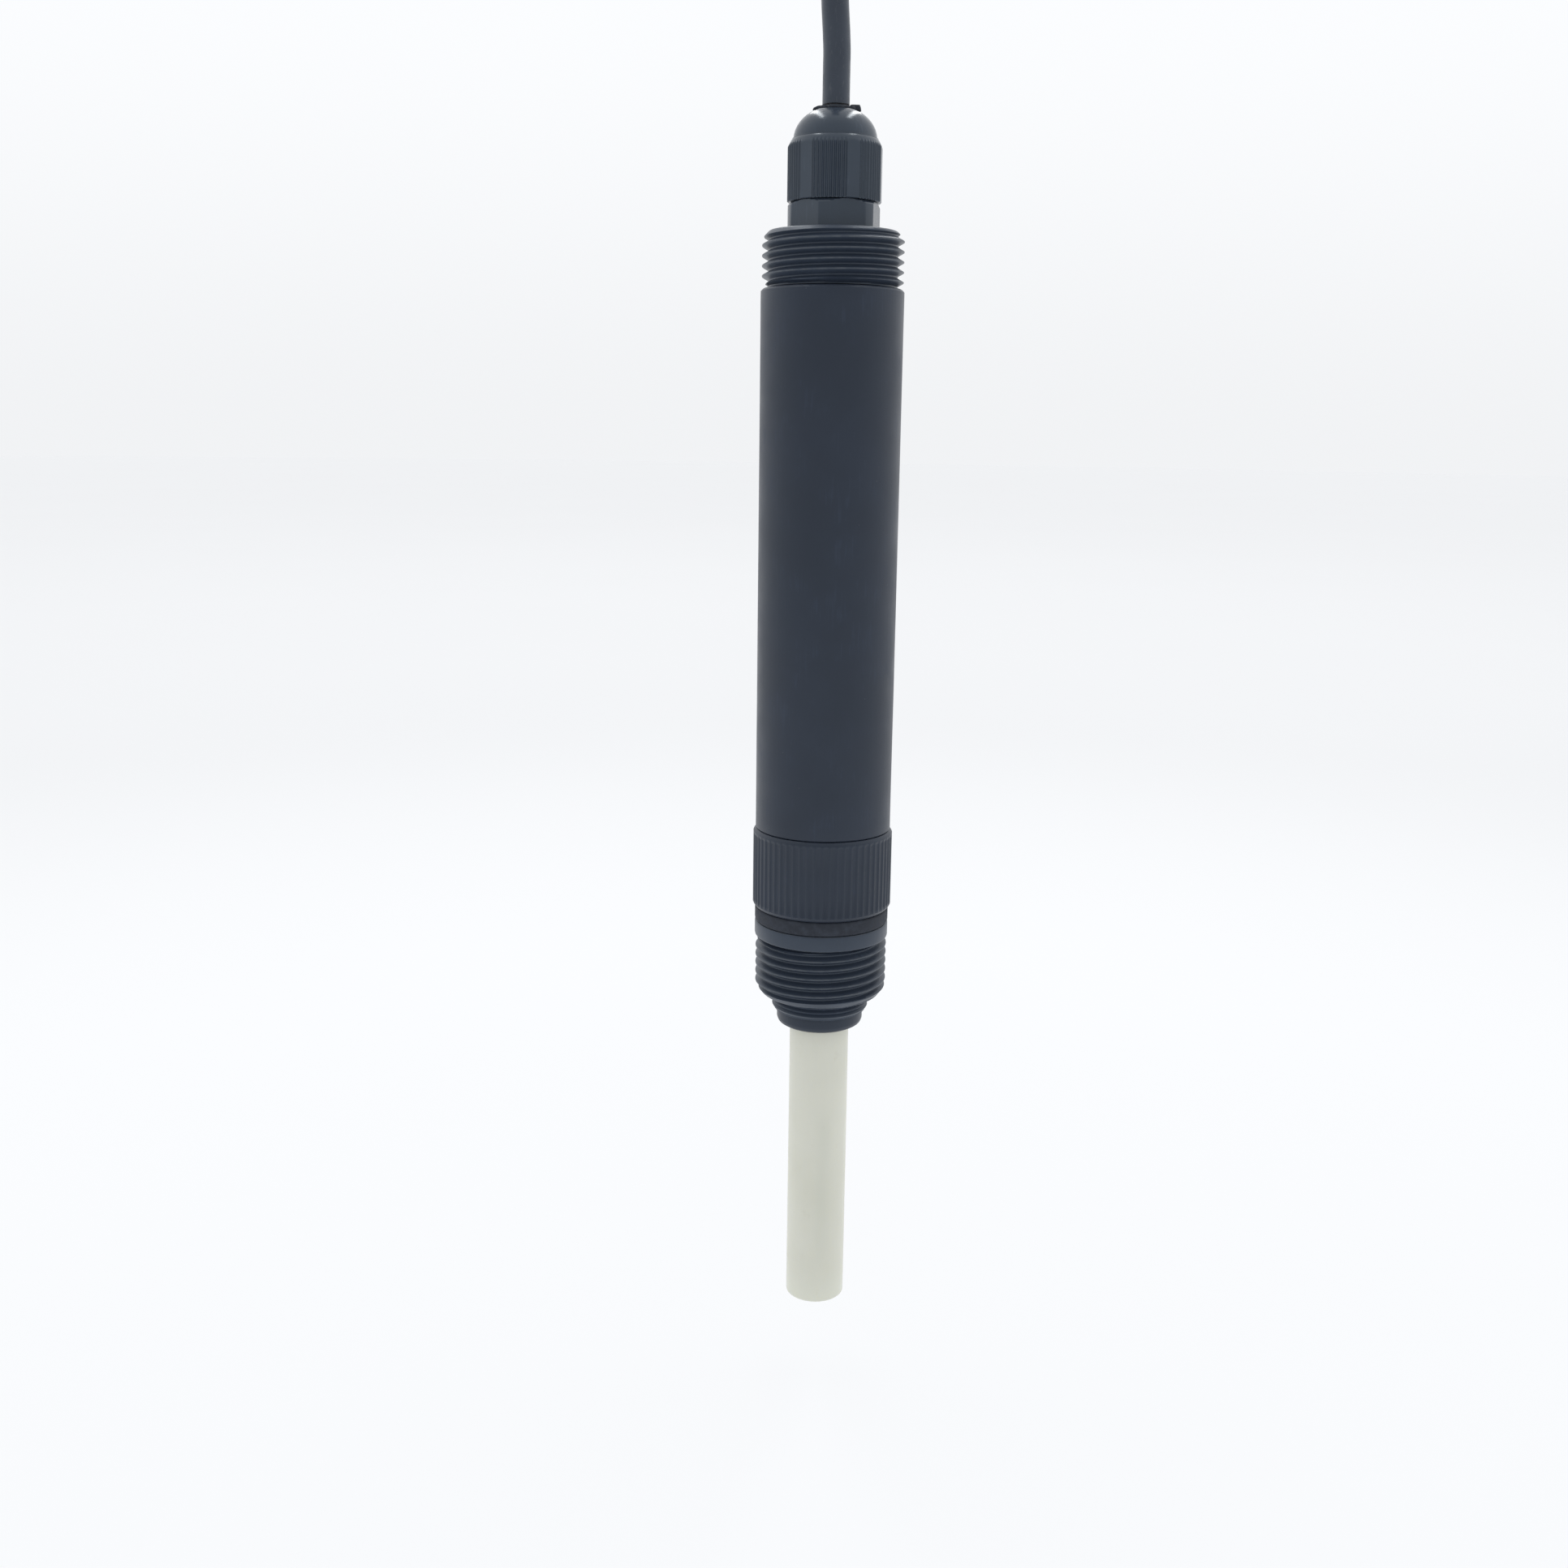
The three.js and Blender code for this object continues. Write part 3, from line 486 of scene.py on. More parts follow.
def membrane_glass():
    look = Finish("membrane_glass", Transmission_Weight=1.0, IOR=1.5)
    look.feed("Base Color", look.colours(look.noise(3, 2), (0.90, 0.97, 0.97), (0.96, 0.985, 0.98)))
    look.feed("Roughness", look.ramp(look.noise(2, 3), 0.35, 0.7, 0.0, 0.05))
    look.bump((look.noise(4, 1), 0.02))
    return look.material


def metal(name, dark, pale, low, high, streak):
    look = Finish(name, Metallic=1.0)
    look.feed("Base Color", look.colours(look.ramp(look.noise(3, 3), 0.3, 0.7), dark, pale))
    look.feed("Roughness", look.ramp(look.noise(2, 3), 0.3, 0.7, low, high))
    look.bump((look.noise(0.3, 2, streak), 0.0006))
    return look.material


def board_laminate():
    """Green solder mask over copper tracks, with plated holes."""
    look = Finish("board_laminate", Specular_IOR_Level=0.5)
    x, _, z = look.split()
    plane = look.node("ShaderNodeCombineXYZ")
    look.link(x, plane.inputs["X"])
    look.link(z, plane.inputs["Y"])
    tracks = look.node("ShaderNodeTexBrick")
    tracks.inputs["Scale"].default_value = 1 / (5 * MM)
    tracks.inputs["Mortar Size"].default_value = 0.03
    tracks.inputs["Color1"].default_value = (0, 0, 0, 1)
    tracks.inputs["Color2"].default_value = (0, 0, 0, 1)
    tracks.inputs["Mortar"].default_value = (1, 1, 1, 1)
    look.link(plane.outputs["Vector"], tracks.inputs["Vector"])
    mask = look.colours(look.noise(2, 3), (0.010, 0.075, 0.030), (0.014, 0.10, 0.042))
    tone = look.colours(look.math("MULTIPLY", tracks.outputs["Color"], 0.6), mask, (0.05, 0.22, 0.07))
    holes = look.ramp(look.specks(2.6), 0.1, 0.14, 1.0, 0.0)
    look.feed("Base Color", look.colours(holes, tone, (0.55, 0.42, 0.17)))
    look.feed("Roughness", look.ramp(look.noise(1.5, 2), 0.3, 0.7, 0.22, 0.36))
    look.bump((tracks.outputs["Color"], 0.03), (look.noise(0.3, 2), 0.006))
    return look.material


def plain_plastic(name, dark, pale, low, high, cloud=2.5, grain=0.01):
    look = Finish(name, Specular_IOR_Level=0.45)
    look.feed("Base Color", look.colours(look.ramp(look.noise(cloud, 4), 0.3, 0.7), dark, pale))
    look.feed("Roughness", look.ramp(look.noise(1.2, 3), 0.3, 0.7, low, high))
    look.bump((look.noise(0.18, 2), grain))
    return look.material


METALS = (
    ("contact_gold", (0.80, 0.55, 0.22), (0.92, 0.68, 0.32), 0.16, 0.3, (1, 1, 0.2)),
    ("plug_metal", (0.47, 0.46, 0.44), (0.53, 0.52, 0.50), 0.27, 0.36, (0.1, 0.1, 1)),
    ("part_metal", (0.50, 0.50, 0.51), (0.62, 0.62, 0.63), 0.28, 0.42, (1, 1, 0.1)),
    ("silver", (0.70, 0.69, 0.67), (0.86, 0.85, 0.83), 0.22, 0.4, (1, 1, 0.1)),
)
PLAIN_PLASTICS = (
    ("chip_epoxy", (0.012, 0.012, 0.013), (0.02, 0.02, 0.021), 0.5, 0.7, 1.5, 0.02),
    ("potting_resin", (0.045, 0.03, 0.016), (0.075, 0.052, 0.03), 0.12, 0.3, 4),
    ("junction_ceramic", (0.66, 0.63, 0.55), (0.76, 0.74, 0.66), 0.7, 0.9, 1, 0.03),
    ("ring_plastic", (0.66, 0.65, 0.61), (0.74, 0.73, 0.70), 0.35, 0.5),
    ("silicone", (0.42, 0.39, 0.33), (0.52, 0.49, 0.42), 0.45, 0.6),
    ("wire_red", (0.30, 0.018, 0.012), (0.38, 0.03, 0.02), 0.3, 0.45),
    ("wire_black", (0.009, 0.009, 0.01), (0.014, 0.014, 0.015), 0.3, 0.45),
    ("wire_yellow", (0.52, 0.36, 0.03), (0.60, 0.44, 0.05), 0.3, 0.45),
    ("wire_green", (0.02, 0.14, 0.045), (0.03, 0.19, 0.065), 0.3, 0.45),
)


def make_finishes():
    """One material for each of the record's material slots."""
    made = {
        "housing_plastic": housing_plastic(),
        "gland_plastic": gland_plastic(),
        "cable_jacket": cable_jacket(),
        "seal_rubber": seal_rubber(),
        "sleeve_plastic": sleeve_plastic(),
        "membrane_glass": membrane_glass(),
        "plug_plastic": plug_plastic(),
        "plug_seal": plug_seal(),
        "board_laminate": board_laminate(),
    }
    for slot, *values in METALS:
        made[slot] = metal(slot, *values)
    for slot, *values in PLAIN_PLASTICS:
        made[slot] = plain_plastic(slot, *values)
    return made


FINISHES = make_finishes()
SLOT_OF = {row["node"]: row["material_slot"] for row in frame["record"]["subparts"]}
BODIES = frame["record"]["behaviour"]["bodies"]
BODY_OF = {node: body for body, nodes in BODIES.items() for node in nodes}


def dress_frame():
    """The CAD nodes that stay, such as the board inside the tube, get their slot's material."""
    for node, part in frame["nodes"].items():
        part.data.materials.clear()
        part.data.materials.append(FINISHES[SLOT_OF[node]])
        if SLOT_OF[node] in ("chip_epoxy", "part_metal", "board_laminate", "ring_plastic"):
            bevel(part, 0.12, 2)


def stand_for(piece, node, finish=None):
    """piece takes over from a CAD node: its body, its material slot and its place in the picture."""
    piece.data.materials.append(finish or FINISHES[SLOT_OF[node]])
    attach(piece, BODY_OF[node])
    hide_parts(node)
    return piece


dress_frame()


# ---- Cable and the plug on its end ----
def make_cable():
    """The free stretch from the seal's lip up to the plug. Its ends reach a little into both."""
    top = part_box("cable")[1].z / MM
    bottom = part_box("cable")[0].z / MM
    route = [
        (0, 0, bottom),
        (0, 0, bottom + CABLE_STRAIGHT),
        (0, 0, bottom + CABLE_STRAIGHT + 2),
        (CABLE_BOW, 0, (top + bottom) / 2 + 3),
        (CABLE_BOW * 0.7, 0, top - 9),
        (0, 0, top - 3),
        (0, 0, top),
    ]
    data = bpy.data.curves.new("cable_jacket", "CURVE")
    data.dimensions = "3D"
    data.bevel_depth = CABLE_RADIUS * MM
    data.bevel_resolution = 12
    data.use_fill_caps = True
    data.resolution_u = 16
    line = data.splines.new("BEZIER")
    line.bezier_points.add(len(route) - 1)
    for knot, (x, y, z) in zip(line.bezier_points, route):
        knot.co = (x * MM, y * MM, z * MM)
        knot.handle_left_type = "AUTO"
        knot.handle_right_type = "AUTO"
    cable = bpy.data.objects.new("cable_free", data)
    bpy.context.scene.collection.objects.link(cable)
    stand_for(cable, "cable")
    return cable


def make_strain_relief():
    """Tapered relief moulded on the cable, with broken rings that let it bend."""
    bottom, top, _ = levels("plug_strain_relief")
    length = top - bottom
    slots = [0.2, 0.42, 0.64]

    def outline(angle):
        rows = [(0, bottom), (CABLE_RADIUS + 0.5, bottom), (CABLE_RADIUS + 0.9, bottom + 0.2)]
        steps = 90
        for step in range(steps + 1):
            share = step / steps
            radius = CABLE_RADIUS + 1.0 + 1.95 * share ** 1.1
            for order, place in enumerate(slots):
                side = abs(math.sin(angle + order * math.pi / 2))
                opening = smooth_step((side - 0.28) / 0.12)
                dip = smooth_step(1 - abs(share - place) / 0.055)
                radius -= 0.75 * dip * opening
            rows.append((radius, bottom + 0.4 + (length - 0.5) * share))
        rows.append((0, top))
        return rows

    relief = swept("strain_relief", 144, outline)
    return stand_for(relief, "plug_strain_relief")


def make_plug_body():
    """Moulded grip with shallow finger flutes, and the neck that carries the ring."""
    bottom, top, radius = levels("plug_body")
    grip_top = bottom + 13.7

    def outline(angle):
        flute = 0.38 * smooth_step((math.cos(8 * angle) - 0.1) / 0.8)
        rows = [(0, bottom), (4.9, bottom), (5.6, bottom + 0.15), (radius - 0.4, bottom + 0.7)]
        rows += [(radius, bottom + 1.3)]
        steps = 24
        for step in range(steps + 1):
            share = step / steps
            inside = smooth_step(share / 0.15) * smooth_step((1 - share) / 0.15)
            rows.append((radius - flute * inside, bottom + 1.5 + 11 * share))
        rows += [(radius, grip_top - 0.6), (radius - 0.15, grip_top - 0.15), (radius - 0.5, grip_top)]
        rows += [(5, grip_top), (5, bottom + 15.3), (5.6, bottom + 15.3), (5.6, bottom + 17.7)]
        rows += [(4.6, bottom + 17.7), (4.6, top - 0.2), (4.4, top), (0, top)]
        return rows

    body = swept("plug_grip", 192, outline)
    return stand_for(body, "plug_body")


def make_plug_ring():
    """Knurled ring with a fine screw thread at its front."""
    bottom, top, radius = levels("plug_coupling_ring")
    shoulder = -8.6
    front = {"radius": 6.0, "depth": 0.5, "pitch": 1.0}
    limit = envelope_of([(5.5, shoulder + 0.3), (5.5, shoulder + 0.9), (6.0, shoulder + 1.3),
                         (6.0, top - 0.6), (5.45, top)])
    knurls = 44

    def outline(angle):
        ridge = 0.32 * abs(math.sin(knurls * angle / 2)) ** 0.8
        rows = [(5.3, bottom), (radius - 0.75, bottom), (radius - 0.45, bottom + 0.15)]
        rows += [(radius - 0.4, bottom + 1.0), (radius - 0.35, bottom + 1.5), (radius - ridge, bottom + 1.9)]
        rows += [(radius - ridge, shoulder - 1.3), (radius - 0.35, shoulder - 0.9)]
        rows += [(radius - 0.4, shoulder - 0.4), (radius - 0.6, shoulder)]
        rows += [(6.2, shoulder + 0.1), (5.5, shoulder + 0.2)]
        rows += thread_rows(angle, front["radius"], front["depth"], front["pitch"], 0, shoulder + 0.3,
                            top, limit)
        rows += [(5.15, top), (5.1, top - 0.1), (5.1, -16), (5.9, -16), (5.9, -19), (5.3, -19)]
        return rows

    ring = swept("plug_ring", 44 * 8, outline, crease=35)
    return stand_for(ring, "plug_coupling_ring")


def make_pins_and_insert():
    bottom, top, radius = levels("plug_insert")
    made = []
    insert = turned("pin_carrier", [
        (0, bottom, 0), (radius, bottom), (radius, top, 0.25), (0.9, top, 0.05), (0.9, top - 0.3, 0.05),
        (0, top - 0.3, 0)], 120)
    made.append(stand_for(insert, "plug_insert"))
    key = make_mesh("pin_carrier_key", *box_between((3.6, -0.5, bottom), (4.55, 0.5, top + 1.2)))
    bevel(key, 0.12)
    key.data.materials.append(FINISHES["plug_plastic"])
    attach(key, "housing")
    made.append(key)
    for number in range(1, 5):
        node = f"plug_pin_{number}"
        low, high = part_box(node)
        centre = (low + high) / 2 / MM
        foot = low.z / MM
        tip = high.z / MM
        pin = turned(f"contact_{number}", [
            (0, foot, 0), (0.5, foot), (0.5, tip - 0.5, 0.3), (0.22, tip, 0.2), (0, tip, 0)], 48)
        pin.location = (centre.x * MM, centre.y * MM, 0)
        bpy.context.view_layer.update()
        pin.data.transform(pin.matrix_world)
        pin.matrix_world = Matrix.Identity(4)
        made.append(stand_for(pin, node))
    return made


def o_ring(name, node, section, flash=0.02):
    """A rubber ring of round section with the thin flash line that its mould leaves."""
    low, high, outer = levels(node)
    centre = (low + high) / 2
    spine = outer - section

    def outline(angle):
        rows = []
        for step in range(24):
            x, y = polar(section, TURN * step / 24)
            if step in (0, 12):
                x += math.copysign(flash, x)
            rows.append((spine + x, centre + y))
        return rows

    return stand_for(swept(name, 128, outline, 80), node)


cable = make_cable()
plug_pieces = [make_strain_relief(), make_plug_body(), make_plug_ring(), *make_pins_and_insert()]
plug_pieces.append(o_ring("plug_seal_ring", "plug_o_ring", 0.4))


# ---- Cable gland ----
def make_inner_cable():
    bottom, top, _ = levels("cable_inner_end")
    inner = turned("cable_in_gland", [
        (0, bottom, 0), (CABLE_RADIUS, bottom), (CABLE_RADIUS, top, 0), (0, top, 0)], 48)
    return stand_for(inner, "cable_inner_end")


def make_seal():
    """Rubber sleeve whose lip above the dome is torn and frayed, most of all on its two sides."""
    bottom, top, _ = levels("gland_seal")
    dome_top = top - 1
    tear = random.Random(11)
    flaps = [(math.pi * 1.02, 0.42, 0.75, -0.28), (-0.08, 0.17, 1.15, 0.3), (-0.5, 0.2, 0.35, -0.2),
             (math.pi * 0.5, 0.6, 0.25, 0.05)]
    for _ in range(9):
        flaps.append((tear.uniform(0, TURN), tear.uniform(0.04, 0.1), tear.uniform(0.04, 0.16), 0))
    front = math.radians(270)

    def outline(angle):
        out, lift = 0, 0
        for place, width, reach, rise in flaps:
            away = (angle - place + math.pi) % TURN - math.pi
            weight = math.exp(-(away / width) ** 4)
            out += reach * weight
            lift += rise * weight
        sink = 0.45 * math.exp(-(((angle - front + math.pi) % TURN - math.pi) / 0.75) ** 4)
        ragged = 0.07 * noise.noise(Vector((math.cos(angle) * 5, math.sin(angle) * 5, 1.3)))
        lip = 3.5 + out + ragged
        high = top - 0.3 + lift - sink + ragged * 2
        rim = dome_top + 0.14 - 0.35 * max(0, lip - 3.9)
        inner = CABLE_RADIUS + 0.03
        return [
            (inner, bottom), (4.1, bottom), (4.3, bottom + 0.4), (4.3, dome_top - 6.2),
            (3.6, dome_top - 5), (3.6, dome_top - 0.25), (3.66, dome_top - 0.05), (3.72, dome_top + 0.06),
            (lip - 0.03, rim), (lip, rim + 0.12), (lip - 0.1, (rim + high) / 2 + 0.15),
            (lip - 0.28, high), (CABLE_RADIUS + 0.6, high + 0.06), (CABLE_RADIUS + 0.2, high + 0.02),
            (inner, high - 0.2),
        ]

    return stand_for(swept("seal_sleeve", 240, outline, 45), "gland_seal")


def make_cap_nut():
    """Domed nut: ribbed arcs and smooth flats in turn round its barrel."""
    bottom, top, _ = levels("gland_cap_nut")
    nut_top = bottom + NUT_HEIGHT
    hole_angle = math.degrees(math.acos(DOME_HOLE / DOME_RADIUS))
    limit = envelope_of([
        (NUT_RADIUS - 0.25, bottom), (NUT_RADIUS - 0.06, bottom + 0.1), (NUT_RADIUS + 0.1, bottom + 0.3),
        (NUT_RADIUS + 0.1, nut_top - NUT_CHAMFER), (DOME_RADIUS + 0.35, nut_top - 0.06),
        (DOME_RADIUS + 0.2, nut_top)])
    heights = [bottom + rise for rise in (0, 0.1, 0.2, 0.32, 0.5, 3, 6)]
    chamfer_rises = (-0.4, -0.15, 0.0, 0.2, 0.45, 0.7, 1.0, 1.3, 1.55, 1.66)
    heights += [nut_top - NUT_CHAMFER + rise for rise in chamfer_rises]
    dome = arc(DOME_RADIUS, DOME_RISE, nut_top, 2, hole_angle - 2, 26)
    rim = [(DOME_HOLE + 0.12, nut_top + 4.93), (DOME_HOLE, nut_top + 4.8)]
    inside = [(DOME_HOLE, nut_top + 2), (DOME_HOLE + 0.9, nut_top + 0.4), (6.3, nut_top - 1)]
    inside += [(6.3, bottom + 0.2), (6.45, bottom)]
    arc_half = NUT_ARC_SPAN / 2
    rib_span = NUT_ARC_SPAN / NUT_RIBS

    def barrel(angle):
        away = (math.degrees(angle) - NUT_ARC_ANGLE + 30) % 60 - 30
        if abs(away) <= arc_half:
            phase = (away + arc_half) / rib_span
            wave = abs(2 * (phase - math.floor(phase)) - 1)
            return NUT_RADIUS - RIB_DEPTH * max(0, 1 - (wave / 0.88) ** 2)
        flat = NUT_RADIUS * math.cos(math.radians(30 - arc_half)) - 0.02
        return flat / math.cos(math.radians(30 - abs(away)))

    def outline(angle):
        side = barrel(angle)
        rows = [(min(side, limit(height)), height) for height in heights]
        rows += [(DOME_RADIUS + 0.12, nut_top + 0.01)]
        return rows + dome + rim + inside

    return stand_for(swept("cap_nut", 60 * 18, outline, 32), "gland_cap_nut")


def make_gland_body():
    """Hexagon with trimmed corners, its plain stub below, and its screw thread and the slotted claws above.
    """
    bottom, top, _ = levels("gland_body")
    seat = bottom + 8
    hex_top = seat + HEX_TOP
    limit = envelope_of([
        (NUT_RADIUS - 0.35, seat), (NUT_RADIUS - 0.02, seat + 0.14), (NUT_RADIUS, hex_top - 0.6),
        (NUT_RADIUS - 0.7, hex_top)])

    screw = {"bottom": hex_top + 0.25, "top": hex_top + 5.25, "root": 5.65, "crest": 6.0}
    screw_limit = envelope_of([
        (screw["root"], screw["bottom"] + 0.5), (screw["crest"], screw["bottom"] + 1),
        (screw["crest"], screw["top"] - 0.4), (screw["root"], screw["top"])])

    def hexagon(angle):
        away = (math.degrees(angle) - HEX_CORNER_ANGLE) % 60 - 30
        reach = HEX_FLATS / 2 / math.cos(math.radians(away))
        return min(reach, NUT_RADIUS + 0.02 * math.cos(math.radians(away * 6)))

    def outline(angle):
        claw = smooth_step((abs(math.sin(4 * angle)) - 0.3) / 0.1)
        slot_floor = screw["top"] + 0.6
        claw_top = slot_floor + (top - slot_floor) * claw
        side = hexagon(angle)
        rows = [(3.3, bottom), (5.6, bottom), (6.0, bottom + 0.4), (6.0, seat - 0.2), (6.0, seat)]
        turns = thread_rows(angle, screw["crest"], SCREW_DEPTH, SCREW_PITCH, hex_top, screw["bottom"],
                            screw["top"], screw_limit)
        for height in (seat + 0.001, seat + 0.05, seat + 0.14, seat + 0.3, seat + 1.5, hex_top - 0.7,
                       hex_top - 0.5, hex_top - 0.25, hex_top - 0.05, hex_top):
            rows.append((min(side, limit(height)), height))
        rows += [(screw["root"], hex_top), *turns, (5.6, screw["top"] + 0.1), (5.5, claw_top)]
        rows += [(4.75, claw_top), (4.6, claw_top - 0.15), (4.6, hex_top + 0.65), (3.3, hex_top + 0.05)]
        return rows

    return stand_for(swept("gland_hexagon", 360, outline, 25), "gland_body")


make_inner_cable()
make_seal()
make_cap_nut()
make_gland_body()


# ---- Housing: threaded end cap and tube ----
def make_end_cap():
    """Threaded end cap, turned to a chamfer at the top, with a recess round the gland."""
    bottom, top, _ = levels("upper_end_cap")
    tube_top = levels("housing_tube")[1]
    thread_bottom = tube_top + 0.03
    root = THREAD_RADIUS - THREAD_DEPTH
    limit = envelope_of([
        (root, thread_bottom), (root, thread_bottom + 0.25), (THREAD_RADIUS + 0.1, thread_bottom + 1.0),
        (THREAD_RADIUS + 0.1, top - 1.4), (THREAD_RADIUS - 1.12, top - 0.12),
        (THREAD_RADIUS - 1.3, top)])

    def outline(angle):
        rows = [(6.3, bottom), (9.5, bottom), (9.9, bottom + 0.4), (9.9, thread_bottom)]
        rows += thread_rows(angle, THREAD_RADIUS, THREAD_DEPTH, THREAD_PITCH, tube_top + UPPER_CREST,
                            thread_bottom, top, limit)
        rows += [(8.15, top), (7.95, top - 0.12), (7.9, top - 1.2), (6.3, top - 1.2)]
        return rows

    cap = swept("threaded_cap", 240, outline, 38)
    return stand_for(cap, "upper_end_cap", thread_plastic_painted_light("upper_thread_plastic"))


def make_tube():
    """Long satin tube. The screw thread for the collar is on its lower spigot."""
    bottom, top, radius = levels("housing_tube")
    shoulder = bottom + TUBE_SPIGOT_LENGTH
    root = TUBE_SPIGOT_RADIUS - SCREW_DEPTH
    limit = envelope_of([
        (root - 0.2, bottom), (TUBE_SPIGOT_RADIUS, bottom + 0.7), (TUBE_SPIGOT_RADIUS, shoulder - 1.4),
        (root, shoulder - 1), (root, shoulder)])
    shell = fillet([(radius - 0.62, top, 0.2), (radius, top - 0.62, 0.3), (radius, shoulder, 0.35),
                    (root, shoulder, 0), (root, shoulder - 1, 0), (TUBE_BORE - 1, shoulder - 1, 0)], 0)[:-3]

    def outline(angle):
        screw = thread_rows(angle, TUBE_SPIGOT_RADIUS, SCREW_DEPTH, SCREW_PITCH, bottom, bottom,
                            shoulder, limit)
        return [(TUBE_BORE, top - 0.1), (TUBE_BORE + 0.1, top), *shell, *reversed(screw),
                (TUBE_BORE + 0.1, bottom), (TUBE_BORE, bottom + 0.1)]

    tube = swept("tube_shell", 240, outline, 38)
    add_rings(tube, shoulder, top, 40)
    return stand_for(tube, "housing_tube")


def add_rings(piece, low, high, count):
    """Cuts level rings into a long wall and lets it waver by a few hundredths, as a moulded tube does."""
    work = bmesh.new()
    work.from_mesh(piece.data)
    for step in range(1, count):
        height = (low + (high - low) * step / count) * MM
        geometry = work.verts[:] + work.edges[:] + work.faces[:]
        bmesh.ops.bisect_plane(work, geom=geometry, plane_co=(0, 0, height), plane_no=(0, 0, 1))
    for vertex in work.verts:
        spot = vertex.co / MM
        waver = 0.03 * noise.noise(Vector((spot.x * 0.06, spot.y * 0.06, spot.z * 0.03)))
        flat = Vector((spot.x, spot.y, 0)).normalized()
        if low + 1 < spot.z < high - 1:
            vertex.co += flat * waver * MM
    work.to_mesh(piece.data)
    work.free()


make_end_cap()
make_tube()


# ---- Coupling collar and the lower fitting ----
def make_collar():
    """Collar with fine straight ribs between two plain rims."""
    bottom, top, radius = levels("coupling_collar")
    top += 0.25
    lip_top = bottom + 1.9
    limit = envelope_of([
        (radius - 0.62, bottom), (radius - 0.5, bottom + 0.08), (radius + 0.1, bottom + 0.85),
        (radius + 0.1, top - 0.75), (radius - 0.5, top - 0.06), (radius - 0.62, top)])
    heights = [bottom + rise for rise in (0, 0.08, 0.3, 0.55, 0.8, 1.1, 1.4, 5, 10)]
    heights += [top - drop for drop in (1.4, 1.1, 0.75, 0.5, 0.25, 0.06, 0)]

    def outline(angle):
        phase = (angle / TURN * COLLAR_RIBS) % 1
        rib = COLLAR_RIB_DEPTH * smooth_step((1 - abs(2 * phase - 1)) / 0.7)
        rows = []
        for height in heights:
            fade = smooth_step((height - bottom - 0.9) / 0.5) * smooth_step((top - 0.9 - height) / 0.5)
            rows.append((min(radius - rib * fade, limit(height)), height))
        rows += [(12.25, top), (12.2, top - 0.1), (12.2, lip_top), (10.65, lip_top)]
        rows += [(10.6, lip_top - 0.1), (10.6, bottom + 0.1), (10.7, bottom)]
        return rows

    return stand_for(swept("ribbed_collar", COLLAR_RIBS * 12, outline, 35), "coupling_collar")


def make_gasket():
    bottom, top, radius = levels("flange_gasket")
    top += 0.25
    gasket = turned("gasket_ring", [
        (10.6, bottom), (radius, bottom, 0.45), (radius, top, 0.45), (10.6, top)], 200)
    return stand_for(gasket, "flange_gasket")


def make_lower_fitting():
    """Flange, lower pipe thread and finely ridged neck, with the spigot that slides in the tube above."""
    bottom, top, radius = levels("lower_fitting")
    seat = bottom + LOWER_THREAD_LENGTH + NECK_HEIGHT
    thread_bottom = seat - LOWER_THREAD_LENGTH
    flange_top = seat + FLANGE_TOP
    root = THREAD_RADIUS - THREAD_DEPTH
    limit = envelope_of([
        (THREAD_RADIUS - 1.35, thread_bottom), (THREAD_RADIUS - 1.2, thread_bottom + 0.1),
        (THREAD_RADIUS + 0.1, thread_bottom + 1.8), (THREAD_RADIUS + 0.1, seat - 1.1),
        (root, seat - 0.4), (root, seat)])
    ridges = []
    for ridge in range(3):
        level = bottom + 0.35 + ridge * 0.95
        ridges += [(9.3, level), (9.62, level + 0.3), (9.72, level + 0.47), (9.62, level + 0.64)]
    groove = seat + 16

    def outline(angle):
        rows = [(7.7, bottom), (9.15, bottom), (9.3, bottom + 0.1), *ridges, (9.3, bottom + 3.3)]
        rows += [(9.5, thread_bottom - 0.1), (9.7, thread_bottom)]
        rows += thread_rows(angle, THREAD_RADIUS, THREAD_DEPTH, THREAD_PITCH, seat + LOWER_CREST,
                            thread_bottom, seat, limit)
        edge = ((0.45, 0), (0.2, 0.06), (0.06, 0.2), (0, 0.45))
        rows += [(radius - inset, seat + rise) for inset, rise in edge]
        rows += [(radius - inset, flange_top - drop) for inset, drop in reversed(edge)]
        rows += [(10.3, flange_top), (10.3, seat + 8), (9.3, seat + 8), (9.3, seat + 12.1)]
        rows += [(9.9, seat + 12.5), (9.9, groove - 1), (8.7, groove - 1), (8.7, groove + 1)]
        rows += [(9.9, groove + 1), (9.9, top - 0.5), (9.5, top), (7.7, top)]
        rows += [(7.7, seat + 1.5), (6.3, seat + 1.5), (6.3, bottom + 2.1), (7.7, bottom + 2.1)]
        return rows

    fitting = swept("threaded_fitting", 240, outline, 38)
    return stand_for(fitting, "lower_fitting", thread_plastic_painted_light("lower_thread_plastic"))


def make_retainer():
    bottom, top, radius = levels("retaining_ring")
    top += 0.25
    ring = turned("retainer", [
        (6.12, bottom, 0.1), (radius - 1.0, bottom, 0.5), (radius - 0.25, bottom + 0.45, 0.6),
        (radius, bottom + 1.15, 0.6), (radius, top, 0.15), (6.12, top, 0)], 200)
    return stand_for(ring, "retaining_ring")


